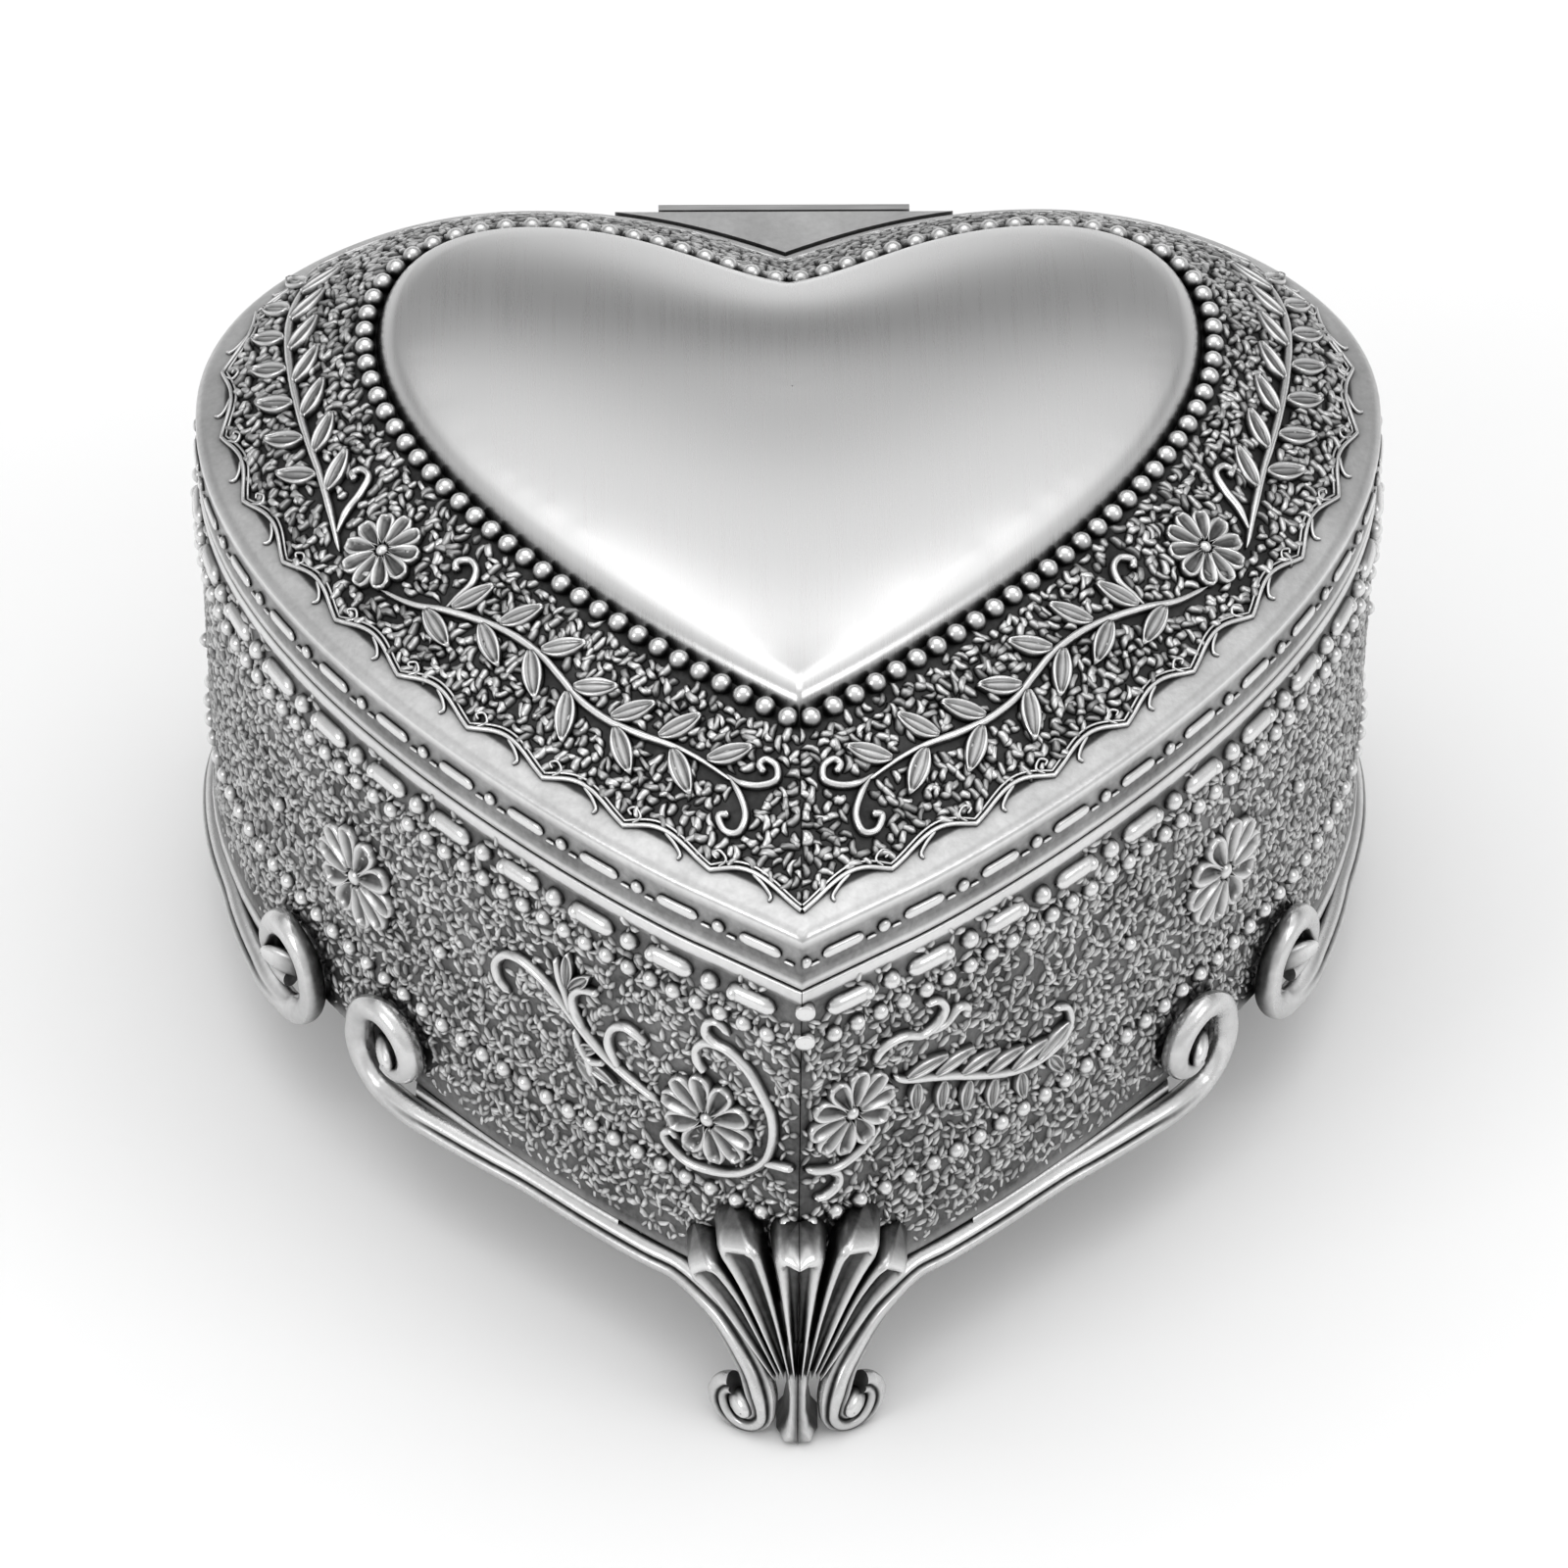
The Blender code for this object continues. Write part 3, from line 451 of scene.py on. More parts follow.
def leaf_pairs(relief, sheet, path, share_range, counts, angles, lengths, width, height, side):
    """Leaves on both sides of a stem, leaning the way that it grows."""
    way = smooth_path(path)
    points = sheet.at(way[:, 0], way[:, 1])
    total = run_lengths(points)
    spots = []
    hands = zip((1, -1), counts, angles, (0.0, 0.5), lengths)
    for hand, count, angle, offset, length in hands:
        grid = blade_grid(leaf_width(width), LEAF, height, length)
        for k in range(count):
            share = share_range[0] + (share_range[1] - share_range[0]) * (k + offset) / count
            s, t = points_along(way, total, share * total[-1])
            s_next, t_next = points_along(way, total, (share + 0.01) * total[-1])
            turn = sheet_heading(sheet, s, t, s_next - s, t_next - t) + hand * angle
            s_base, t_base = sheet.near(s, t, turn, 0.35, 0.0)
            lay_blade(relief, sheet, s_base, t_base, turn, grid, side)
            for reach in (0.3, 0.75):
                spots.append(sheet.at(*sheet.near(s, t, turn, length * reach, 0.0)))
    return np.array(spots)


def sheet_heading(sheet, s, t, ds, dt):
    """Angle of a small (s, t) step, in millimetres on the sheet."""
    along = sheet.look_up(sheet.along, np.float64(s), np.float64(t))
    across = sheet.look_up(sheet.across, np.float64(s), np.float64(t))
    ahead_way = along / np.linalg.norm(along)
    step = along * ds + across * dt
    ahead = step @ ahead_way
    left_way = np.cross(sheet.look_up(sheet.normals, np.float64(s), np.float64(t)), ahead_way)
    return math.atan2(step @ left_way, ahead)


# ---------------------------------------------------------------- cast texture

def flower_spots(sheet, s, t, reaches):
    """Places over a flower, which keep the texture off it."""
    ring = np.linspace(0, 2 * math.pi, 12, endpoint=False)
    return [sheet.at(*sheet.near(np.full(12, s), np.full(12, t), ring, reach, 0.0)) for reach in reaches]


def scattered(sheet, t_low, t_high, spacing, row_spacing, random):
    """Jittered places, evenly spread over a stretch of a sheet."""
    places = []
    for t in np.arange(t_low + row_spacing / 2, t_high, row_spacing):
        run = sheet.at(np.linspace(*sheet.s_range, 300), t)
        total = run_lengths(run)
        count = int(total[-1] / spacing)
        even = (np.arange(count) + random.uniform(0.1, 0.9, count)) / count * total[-1]
        s = np.interp(even, total, np.linspace(*sheet.s_range, 300))
        places.append(np.stack([s, t + random.uniform(-0.5, 0.5, count) * row_spacing], 1))
    return np.vstack(places)


FLECK_SUNK = 0.06           # how far a stroke's edge lies under the face


def clear_of(points, spots, reach):
    """Which points lie further than `reach` from every spot."""
    keep = np.ones(len(points), bool)
    for chunk in np.array_split(np.arange(len(spots)), max(1, len(spots) // 50)):
        gap = np.linalg.norm(points[:, None] - spots[chunk][None], axis=2)
        keep &= (gap > reach).all(1)
    return keep


def flecks(relief, sheet, places, side, random, length, width, height, bend, rows, columns, rays=1):
    """Small raised strokes, each one bent grid, alone or as rays from one place."""
    first_turn = np.repeat(random.uniform(0, 2 * math.pi, len(places)), rays)
    ray = np.tile(np.arange(rays), len(places))
    places = np.repeat(places, rays, axis=0)
    count = len(places)
    pick = lambda low, high: random.uniform(low, high, count)[:, None, None]
    u = np.linspace(-1, 1, rows)[None, :, None]
    v = np.linspace(-1, 1, columns)[None, None, :]
    long, wide = pick(*length), pick(*width)
    taper = np.sqrt(1 - 0.9 * u**4)
    ahead = (u + (0.86 if rays > 1 else 0.0)) * long / 2 * np.ones_like(v)
    left = v * wide / 2 * taper * (1 + 0.25 * pick(-1, 1) * u) + pick(-bend, bend) * long * u * u
    profile = (1 - v**4) * (1 - u**6)
    tall = pick(*height)
    turn = (first_turn + ray * 2 * math.pi / rays)[:, None, None] + pick(-0.5, 0.5)
    s, t = places[:, 0][:, None, None], places[:, 1][:, None, None]
    s_all, t_all = sheet.near(s, t, turn, ahead, left)
    t_all = np.clip(t_all, *sheet.t_range)
    points = sheet.at(s_all, t_all, profile * tall - FLECK_SUNK)
    relief.grids(points, np.clip(profile * (0.72 + 0.28 * pick(-1, 1)), 0, 1), side)


# ---------------------------------------------------------------- materials

def new_material(name):
    """A material with its node tree, its shader and the coordinates of its piece."""
    made = bpy.data.materials.new(name)
    made.use_nodes = True
    tree = made.node_tree
    return made, tree, tree.nodes["Principled BSDF"], node(tree, "ShaderNodeTexCoord").outputs["Object"]


def node(tree, kind, **values):
    made = tree.nodes.new(kind)
    for key, value in values.items():
        if key in made.inputs:
            made.inputs[key].default_value = value
        else:
            setattr(made, key, value)
    return made


def noise(tree, coordinates, scale, detail=4.0, roughness=0.6, stretch=(1, 1, 1)):
    mapping = node(tree, "ShaderNodeMapping")
    mapping.inputs["Scale"].default_value = stretch
    tree.links.new(coordinates, mapping.inputs["Vector"])
    made = node(tree, "ShaderNodeTexNoise", Scale=scale, Detail=detail, Roughness=roughness)
    tree.links.new(mapping.outputs["Vector"], made.inputs["Vector"])
    return made.outputs["Fac"]


def maths(tree, operation, a, b):
    made = node(tree, "ShaderNodeMath", operation=operation)
    for socket, value in zip(made.inputs, (a, b)):
        if isinstance(value, (int, float)):
            socket.default_value = value
        else:
            tree.links.new(value, socket)
    return made.outputs["Value"]


def ramp(tree, factor, stops):
    made = node(tree, "ShaderNodeValToRGB")
    while len(made.color_ramp.elements) < len(stops):
        made.color_ramp.elements.new(0.5)
    for element, (position, value) in zip(made.color_ramp.elements, stops):
        element.position = position
        element.color = (*value, 1) if isinstance(value, tuple) else (value, value, value, 1)
    tree.links.new(factor, made.inputs["Fac"])
    return made.outputs["Color"]


def bump(tree, height, strength, distance):
    made = node(tree, "ShaderNodeBump", Strength=strength, Distance=distance)
    tree.links.new(height, made.inputs["Height"])
    return made.outputs["Normal"]


def wavered(tree, value, texture, amount):
    """A value moved up and down by a texture, by up to half the amount."""
    swing = maths(tree, "MULTIPLY", maths(tree, "SUBTRACT", texture, 0.5), amount)
    return maths(tree, "ADD", value, swing)


def mixture(tree, first, first_share, second):
    """Two textures, added in shares that make one."""
    return maths(tree, "ADD", maths(tree, "MULTIPLY", first, first_share),
                 maths(tree, "MULTIPLY", second, 1 - first_share))


def finish_metal(tree, shader, colour, polish, rough, height, grain):
    """Metal with a colour, roughness between two values, and bumps of a strength and depth."""
    tree.links.new(colour, shader.inputs["Base Color"])
    spread = node(tree, "ShaderNodeMapRange")
    spread.inputs["To Min"].default_value, spread.inputs["To Max"].default_value = rough
    tree.links.new(polish, spread.inputs["Value"])
    tree.links.new(spread.outputs["Result"], shader.inputs["Roughness"])
    tree.links.new(bump(tree, height, *grain), shader.inputs["Normal"])
    shader.inputs["Metallic"].default_value = 1.0


# Noise scales, in cells for each metre
GRAIN_SCALE, FINE_SCALE, BROAD_SCALE = 2600, 1400, 90
SPECKLE, PATCHES = 0.22, 0.35       # how much the fine and broad noise change the wear
CREVICE_REACH = 0.0011              # reach of the ambient occlusion that darkens crevices, in metres: patina there, and painted shade


def shade_of(tree):
    return node(tree, "ShaderNodeAttribute", attribute_name="shade").outputs["Fac"]


def antique_silver(name, stops, rough=(0.52, 0.30), crevice_patina_and_shade=1.6):
    """Cast metal: dark patina where the shade is low, crevices darkened by ambient occlusion as patina and
    painted shade, worn bright elsewhere.
    """
    made, tree, shader, place = new_material(name)
    worn = wavered(tree, shade_of(tree), noise(tree, place, FINE_SCALE, 3), SPECKLE)
    worn = wavered(tree, worn, noise(tree, place, BROAD_SCALE, 2), PATCHES)
    # Painted shade with the patina: ambient occlusion darkens the colour in crevices and round every raised
    # piece
    occlusion_patina_and_shade = node(tree, "ShaderNodeAmbientOcclusion", samples=6, Distance=CREVICE_REACH)
    worn = maths(tree, "MULTIPLY", worn, maths(tree, "POWER", occlusion_patina_and_shade.outputs["AO"], crevice_patina_and_shade))
    grain = noise(tree, place, GRAIN_SCALE, 4)
    finish_metal(tree, shader, ramp(tree, worn, stops), worn, rough, grain, (0.5, 0.00004))
    return made


def brushed_silver(name, stops):
    """Satin metal with fine streaks along the depth of the lid."""
    made, tree, shader, place = new_material(name)
    streaks = noise(tree, place, 1.0, 6, 0.7, stretch=(5200, 70, 400))
    wide = noise(tree, place, 1.0, 3, 0.6, stretch=(900, 18, 60))
    mixed = mixture(tree, streaks, 0.6, wide)
    tone = wavered(tree, shade_of(tree), mixed, 0.30)
    finish_metal(tree, shader, ramp(tree, tone, stops), mixed, (0.22, 0.34), streaks, (0.2, 0.00001))
    brush = node(tree, "ShaderNodeTangent", direction_type="RADIAL", axis="Y")
    tree.links.new(brush.outputs["Tangent"], shader.inputs["Tangent"])
    shader.inputs["Anisotropic"].default_value = 0.7
    return made


def plain_silver(name, level):
    """Cast metal for pieces that carry no shade of their own."""
    made, tree, shader, place = new_material(name)
    tone = mixture(tree, noise(tree, place, FINE_SCALE, 3), 0.35, noise(tree, place, 120, 3))
    colour = ramp(tree, tone, ((0.3, level * 0.7), (0.7, level)))
    finish_metal(tree, shader, colour, tone, (0.32, 0.48), noise(tree, place, GRAIN_SCALE, 4), (0.5, 0.00003))
    return made


def steel(name):
    """Plain nickel-plated steel with rolling marks."""
    made, tree, shader, place = new_material(name)
    marks = noise(tree, place, 1.0, 4, stretch=(150, 2500, 2500))
    colour = ramp(tree, marks, ((0.3, 0.42), (0.7, 0.58)))
    finish_metal(tree, shader, colour, marks, (0.25, 0.42), marks, (0.3, 0.00002))
    return made


def velvet(name):
    """Short dark red pile with a soft sheen."""
    made, tree, shader, place = new_material(name)
    pile = noise(tree, place, 5000, 2)
    tone = mixture(tree, pile, 0.5, noise(tree, place, 110, 3))
    stops = ((0.3, (0.030, 0.002, 0.005)), (0.7, (0.115, 0.007, 0.018)))
    tree.links.new(ramp(tree, tone, stops), shader.inputs["Base Color"])
    tree.links.new(bump(tree, pile, 0.6, 0.0002), shader.inputs["Normal"])
    shader.inputs["Roughness"].default_value = 0.92
    shader.inputs["Sheen Weight"].default_value = 0.8
    shader.inputs["Sheen Roughness"].default_value = 0.35
    shader.inputs["Sheen Tint"].default_value = (0.75, 0.25, 0.30, 1)
    return made


# Ramps from the wear to a grey
GROUND = antique_silver("patina_ground", ((0.0, 0.02), (0.25, 0.10), (0.55, 0.42), (0.9, 0.74)))
WALL_LOOK = antique_silver("wall_patina", ((0.0, 0.02), (0.16, 0.17), (0.5, 0.46), (0.9, 0.76)))
RELIEF = antique_silver("worn_relief", ((0.0, 0.02), (0.25, 0.18), (0.6, 0.50), (0.95, 0.76)),
                        rough=(0.42, 0.24), crevice_patina_and_shade=1.3)
PEARL_LOOK = antique_silver("pearl_silver", ((0.0, 0.02), (0.35, 0.14), (0.7, 0.40), (1.0, 0.70)),
                            rough=(0.42, 0.26))
SATIN = brushed_silver("brushed_silver", ((0.0, 0.04), (0.35, 0.20), (0.62, 0.57), (1.0, 0.72)))
VELVET = velvet("red_velvet")
STEEL = steel("plated_steel")


# ---------------------------------------------------------------- lid

def pillow(outline):
    """Height table (0 to 1) of a soap film blown up inside an outline."""
    cell = 0.6
    low = outline.min(0) - 2 * cell
    counts = np.ceil((outline.max(0) + 2 * cell - low) / cell).astype(int)
    x = low[0] + np.arange(counts[0]) * cell
    y = low[1] + np.arange(counts[1]) * cell
    inside = np.zeros(counts, bool)
    xx, yy = np.meshgrid(x, y, indexing="ij")
    for (x1, y1), (x2, y2) in zip(outline, np.roll(outline, -1, axis=0)):
        crosses = (y1 > yy) != (y2 > yy)
        slope = (x2 - x1) * (yy - y1) / (y2 - y1 + 1e-12) + x1
        inside ^= crosses & (xx < slope)
    film = np.zeros(counts)
    for _ in range(3000):
        near = (np.roll(film, 1, 0) + np.roll(film, -1, 0) + np.roll(film, 1, 1) + np.roll(film, -1, 1))
        film = np.where(inside, near / 4 + 0.001, 0)
    film /= film.max()
    return lambda p: bilinear(film, (p[:, 0] - low[0]) / cell, (p[:, 1] - low[1]) / cell)


def bilinear(table, u, v):
    i = np.clip(u.astype(int), 0, table.shape[0] - 2)
    j = np.clip(v.astype(int), 0, table.shape[1] - 2)
    a, b = u - i, v - j
    return (table[i, j] * (1 - a) * (1 - b) + table[i + 1, j] * a * (1 - b)
            + table[i, j + 1] * (1 - a) * b + table[i + 1, j + 1] * a * b)


RING = 260                  # points in half a ring of the lid


def ring_at(out, z):
    ring = whole_heart(resampled(heart_line(out), RING))
    return np.column_stack([ring, np.full(len(ring), z)])


def lid_profile():
    """(out, z, shade, look) from inside the rim, over the edge and the band, to the dome's foot."""
    rows = [(-LID_THICKNESS, 57.3, 0.3, 0), (-LID_THICKNESS, 52.6, 0.4, 0), (-1.4, LID_BOTTOM, 0.6, 0),
            (-0.2, LID_BOTTOM, 0.75, 0), (0.0, LID_BOTTOM + 0.2, 0.85, 0), (0.0, 53.0, 0.8, 0)]
    rows += [(-0.02, 53.4, 0.45, 0), (-0.12, 54.0, 0.35, 0), (-0.12, 55.6, 0.42, 0),
             (-0.10, 57.0, 0.5, 0), (0.0, 57.5, 0.7, 0), (0.0, 57.95, 0.9, 0)]
    for degrees in (20, 45, 70):
        turn = math.radians(degrees)
        rows.append((-0.5 * (1 - math.cos(turn)), 57.95 + 0.55 * math.sin(turn), 0.72, 0))
    for t in np.linspace(0.6, LEDGE, 6):
        rows.append((-t, float(lid_height(t)), 0.66, 0))
    for t in np.linspace(LEDGE + 0.35, BAND_SIDE - 1.3, 26):
        rows.append((-t, float(lid_height(t)) - 0.12, 0.12, 0))
    rows += [(-(BAND_SIDE - 0.8), PEARL_Z - 0.2, 0.05, 0), (-BAND_SIDE, PEARL_Z - 0.35, 0.0, 0),
             (-(BAND_SIDE + 0.8), PEARL_Z - 0.3, 0.0, 0), (-(DOME_EDGE - 0.15), PEARL_Z - 0.2, 0.05, 1)]
    # Painted shade: the shoulder of the raised heart is darker towards its foot, its shade climbing with the
    # slope
    for degrees, shade in ((5, 0.2), (18, 0.38), (32, 0.55), (46, 0.7), (60, 0.85), (70, 0.95)):
        turn = math.radians(degrees)
        rows.append((-(DOME_EDGE + SHOULDER_WIDTH * (1 - math.cos(turn))),
                     PEARL_Z - 0.1 + SHOULDER_RISE * math.sin(turn), shade, 1))
    return rows


DOME_SCALES = (0.97, 0.93, 0.88, 0.82, 0.76, 0.7, 0.63, 0.56, 0.49, 0.42, 0.35, 0.28, 0.21, 0.14, 0.07, 0.002)


def lid_shell():
    """Rim, ledge, band ground and the raised satin heart."""
    profile = lid_profile()
    rings = [ring_at(out, z) for out, z, _, _ in profile]
    shades = [shade for _, _, shade, _ in profile]
    looks = [look for _, _, _, look in profile]
    last = rings[-1]
    film = pillow(last[:, :2])
    centre = np.array([0.0, last[:, 1].min() * 0.42 + last[:, 1].max() * 0.58])
    low = last[0, 2]
    rise = CROWN_Z - low
    for scale in DOME_SCALES:
        flat = centre + (last[:, :2] - centre) * scale
        height = low + rise * (1 - (1 - film(flat))**1.5)
        rings.append(np.column_stack([flat, height]))
        shades.append(1.0)
        looks.append(1)
    grid = np.stack(rings, 1)[None]
    relief = Relief()
    split = looks.index(1)
    relief.grids(grid[:, :, :split + 1], np.array(shades[:split + 1]), closed=True)
    relief.grids(grid[:, :, split:], np.array(shades[split:]), closed=True, look=1)
    return relief.build("lid_shell_skin", (GROUND, SATIN), "lid", "lid_silver", ("lid_shell",))


FRONT_VINE = ((34.5, 6.4), (32, 7.2), (29.5, 8.6), (27, 9.6), (24.5, 10.2), (21.7, 10.2), (19.5, 9.6),
              (17.4, 8.9), (15, 8.7), (12.5, 9), (10, 9.5), (7.5, 9.6), (4.8, 9.2))
FRONT_VINE_CURLS = (
    ((5.6, 9.5), (4.3, 9.4), (2.9, 9.9), (1.8, 10.8), (1.8, 11.8), (2.6, 12), (3.1, 11.4), (2.7, 10.9)),
    ((5.4, 9.5), (4.4, 8.5), (3.9, 7.2), (4.3, 5.8), (5.2, 5.5), (5.7, 6.3), (5.0, 6.8)),
    ((29.8, 8.4), (29.6, 10), (29.5, 11.4), (30, 12.6), (31, 12.9), (31.7, 12.1), (31.2, 11.5)))
REAR_VINE = ((39, 6.2), (42, 7.6), (45.5, 8.7), (49.5, 9.2), (53.5, 9.3), (57.5, 8.9), (61.5, 7.9),
             (65, 6.6), (68.5, 5.1))
REAR_VINE_CURLS = (
    ((40.3, 6.9), (41.3, 8.6), (41.9, 10.3), (42.8, 11.8), (43.8, 11.7), (43.9, 10.9), (43.3, 10.8)),)
LID_STEM, LID_CURL = (0.42, 0.72), (0.38, 0.7)      # radius and height
LID_LEAVES = (5.0, 4.6), 2.1, 0.75                  # lengths on either hand, width and height
LID_FLECKS = dict(length=(1.1, 2.2), width=(0.6, 1.0), height=(0.3, 0.5), bend=0.28, rows=5, columns=5)
LID_FLECK_SPACING = 1.0, 0.78
# One border scallop's tendrils: shares of the scallop and distances in from the ledge
HOOK = (0.55, 0.8), (0.42, 0.35), (0.34, -0.25), (0.36, -0.8)
CURL = (0.92, 0.1), (0.84, 0.9), (0.92, 1.35), (0.99, 0.95), (0.94, 0.7)
LID_DAISY = (36.7, 8.7)


def lid_ornament(side, word, random):
    """Vines, leaves, daisy and curls on one half of the band."""
    relief = Relief()
    spots = []
    for vine, curls in ((FRONT_VINE, FRONT_VINE_CURLS), (REAR_VINE, REAR_VINE_CURLS)):
        spots.append(stem(relief, LID, vine, *LID_STEM, side))
        for curl in curls:
            spots.append(stem(relief, LID, curl, *LID_CURL, side, start=0.4, end=1.1))
    for vine, stretch, counts, angles in ((FRONT_VINE, (0.12, 0.97), (6, 7), (0.72, 0.8)),
                                          (REAR_VINE, (0.16, 1.0), (7, 7), (0.62, 0.95))):
        spots.append(leaf_pairs(relief, LID, vine, stretch, counts, angles, *LID_LEAVES, side))
    daisy(relief, LID, *LID_DAISY, 4.0, side)
    relief.build(f"lid_vine_{word}", (RELIEF,), "lid", "lid_silver")
    spots += flower_spots(LID, *LID_DAISY, (0.0, 1.7, 3.3))
    texture = Relief()
    places = scattered(LID, LEDGE + 0.5, BAND_SIDE - 1.1, *LID_FLECK_SPACING, random)
    wave = border_depth(places[:, 0])
    places = places[places[:, 1] > wave + 0.35]
    spots = np.vstack(spots)
    places = places[clear_of(LID.at(places[:, 0], places[:, 1]), spots, 0.85)]
    flecks(texture, LID, places, side, random, **LID_FLECKS)
    texture.build(f"lid_flecks_{word}", (GROUND,), "lid", "lid_silver")


def border_depth(s):
    """t of the scalloped border cord: low and sharp where two scallops meet."""
    phase = (np.asarray(s, float) * SCALLOPS / 100) % 1.0
    return LEDGE - 0.35 + 1.25 * np.sin(math.pi * phase**1.15)


def lid_border(side, relief):
    """Scalloped cord where the textured band meets the smooth ledge, with small tendrils."""
    s = np.linspace(0, 100, SCALLOPS * 18 + 1)
    t = border_depth(s)
    normals = LID.look_up(LID.normals, s, t)
    even = np.ones(len(s))
    for shift, radius, height in ((0.0, 0.24, 0.42), (0.42, 0.16, 0.3)):
        sweep(relief, LID.at(s, t + shift), normals, radius * even, height * even, side)
    unit = 100 / SCALLOPS
    for k in range(SCALLOPS):
        for path, radius, height, end in ((HOOK, 0.2, 0.34, 0.7), (CURL, 0.17, 0.4, 0.9)):
            points = [(k * unit + share * unit, LEDGE + inwards) for share, inwards in path]
            stem(relief, LID, points, radius, height, side, start=0.9, end=end)


def lid_rim_and_pearls():
    """Border cord, bars and beads on the rim, pearls round the raised heart, bead at the point."""
    trim, pearls = Relief(), Relief()
    for side in (1, -1):
        lid_border(side, trim)
        length = RIM.s_range[1]
        for s in np.arange(PERIOD / 2, length - 2, PERIOD):
            bar(trim, RIM, s, RIM_ROW, 2.15, 0.62, 0.32, side)
            for gap in (-3.0, 3.0):
                bar(trim, RIM, s + gap, RIM_ROW - 0.55, 0.5, 0.16, 0.18, side)
        beads(trim, RIM, np.arange(PERIOD, length - 2, PERIOD), RIM_ROW, 0.66, 0.42, side)
        half = resampled(heart_line(-BAND_SIDE), 2 * PEARLS + 1)[1::2]
        pearl_row(pearls, half, side)
    beads(trim, RIM, [0.35], RIM_ROW, 0.6, 0.42, 1)
    beads(trim, LID, [0.25], 7.2, 0.85, 0.95, 1)
    trim.build("lid_trim", (RELIEF,), "lid", "lid_silver")
    pearls.build("lid_pearls", (PEARL_LOOK,), "lid", "lid_silver")


def pearl_row(relief, places, side):
    """Round pearls, three quarters proud of the groove."""
    around = np.linspace(0, 2 * math.pi, 18, endpoint=False)[:, None]
    rise = np.radians([-50, -28, -8, 12, 32, 52, 70, 87])[None, :]
    ball = np.stack(np.broadcast_arrays(np.cos(around) * np.cos(rise), np.sin(around) * np.cos(rise),
                                        np.sin(rise) * np.ones_like(around)), -1) * PEARL_RADIUS
    middle = np.column_stack([places, np.full(len(places), PEARL_Z + 0.15)])
    shade = np.clip(0.35 + 0.9 * np.sin(rise), 0, 1) * np.ones_like(around)
    relief.grids(middle[:, None, None] + ball[None], shade, side, closed=True)


# ---------------------------------------------------------------- walls

def wall_skin(word, side):
    """One side casting: thin, closed, flared at its foot, with a plain strip under the seam."""
    profile = [(-WALL_THICKNESS, WALL_BOTTOM, 0.3), (0.3, WALL_BOTTOM, 0.4), (0.45, WALL_BOTTOM + 0.4, 0.35)]
    for z in np.linspace(WALL_BOTTOM + 1.2, WALL_BOTTOM + 5, 6):
        share = (z - WALL_BOTTOM) / 5
        profile.append((0.45 * (1 - share)**2, float(z), 0.14))
    profile += [(0.0, 20, 0.14), (0.0, 30, 0.14), (0.0, 40, 0.14), (0.0, 50.2, 0.16), (0.02, 50.5, 0.4),
                (0.14, 50.75, 0.75), (0.18, 51.0, 0.8), (0.18, 51.75, 0.85), (0.08, WALL_TOP, 0.9),
                (-0.2, WALL_TOP, 0.8), (-WALL_THICKNESS, WALL_TOP, 0.5), (-WALL_THICKNESS, 30, 0.4)]
    rows = []
    for out, z, _ in profile:
        line = heart_line(out - WALL_INSET)
        total = run_lengths(line)
        plan = points_along(line, total, np.linspace(SEAM, length_to_back(line), 300))
        plan[:, 0] = np.maximum(plan[:, 0], SEAM)
        rows.append(np.column_stack([plan, np.full(300, z)]))
    grid = np.stack(rows + rows[:1], 1)
    shade = np.array([s for _, _, s in profile] + [profile[0][2]])
    relief = Relief()
    relief.grids(grid[None], shade, side)
    close_end(relief, grid[0, :-1], side, -side)
    close_end(relief, grid[-1, :-1], side, side)
    return relief.build(f"side_wall_{word}_skin", (WALL_LOOK,), "base", "antique_silver",
                        (f"side_wall_{word}",))


def corner_disc(relief, z):
    """Small flat disc over the seam at the front corner."""
    around = np.linspace(0, 2 * math.pi, 24, endpoint=False)[:, None]
    radius = np.array([0.88, 0.88, 0.82, 0.45, 0.02])[None]
    depth = np.array([0.6, -0.22, -0.3, -0.32, -0.32])[None] * np.ones_like(around)
    points = np.stack([0.34 + radius * np.cos(around), WALL_FACE[0, 1] + depth,
                       z + radius * np.sin(around)], -1)
    relief.grids(points[None, :, ::-1], np.array([1, 1, 1, 0.9, 0.2]), closed=True)


def close_end(relief, loop, side, winding):
    """Strip of quads across the end of a closed section."""
    count = len(loop)
    pairs = np.array([(i, i + 1, count - 2 - i, count - 1 - i) for i in range(count // 2 - 1)])
    relief.add(loop, np.full(count, 0.3), pairs, side, winding)


ROW_A, ROW_B, ROW_C = 48.7, 45.5, 23.3      # heights of the rows of bars and beads
ROW_B_STEP, ROW_C_STEP = 2.47, 2.7
WALL_BAR = 2.5, 1.02, 0.95                  # half length, radius and height
BAR_BEAD, ROW_BEAD = (0.98, 1.1), (0.9, 1.0)
WALL_STEM = 0.5, 0.95                       # radius and height
STROKE_TOP, STROKE_SPACING = 50.0, (1.75, 1.35)
STROKES = dict(length=(1.2, 2.1), width=(0.5, 0.8), height=(0.28, 0.44), bend=0.12, rows=4, columns=4, rays=3)
FIRST_BAR = 5.05            # front seam to the middle of the first bar
PATTERN_MIDDLE = 79.0       # the wall's pattern is repeated backwards beyond this place
LEFT_DAISIES = ((9.4, 32.0, 5.0), (53.4, 33.4, 5.6))
RIGHT_DAISIES = ((5.2, 35.0, 4.7), (52.4, 34.4, 5.6))
LEFT_STUDS = ((41.4, 32.5), (66.7, 32.2))
RIGHT_STUDS = ((38.6, 35.0), (65.7, 34.7))
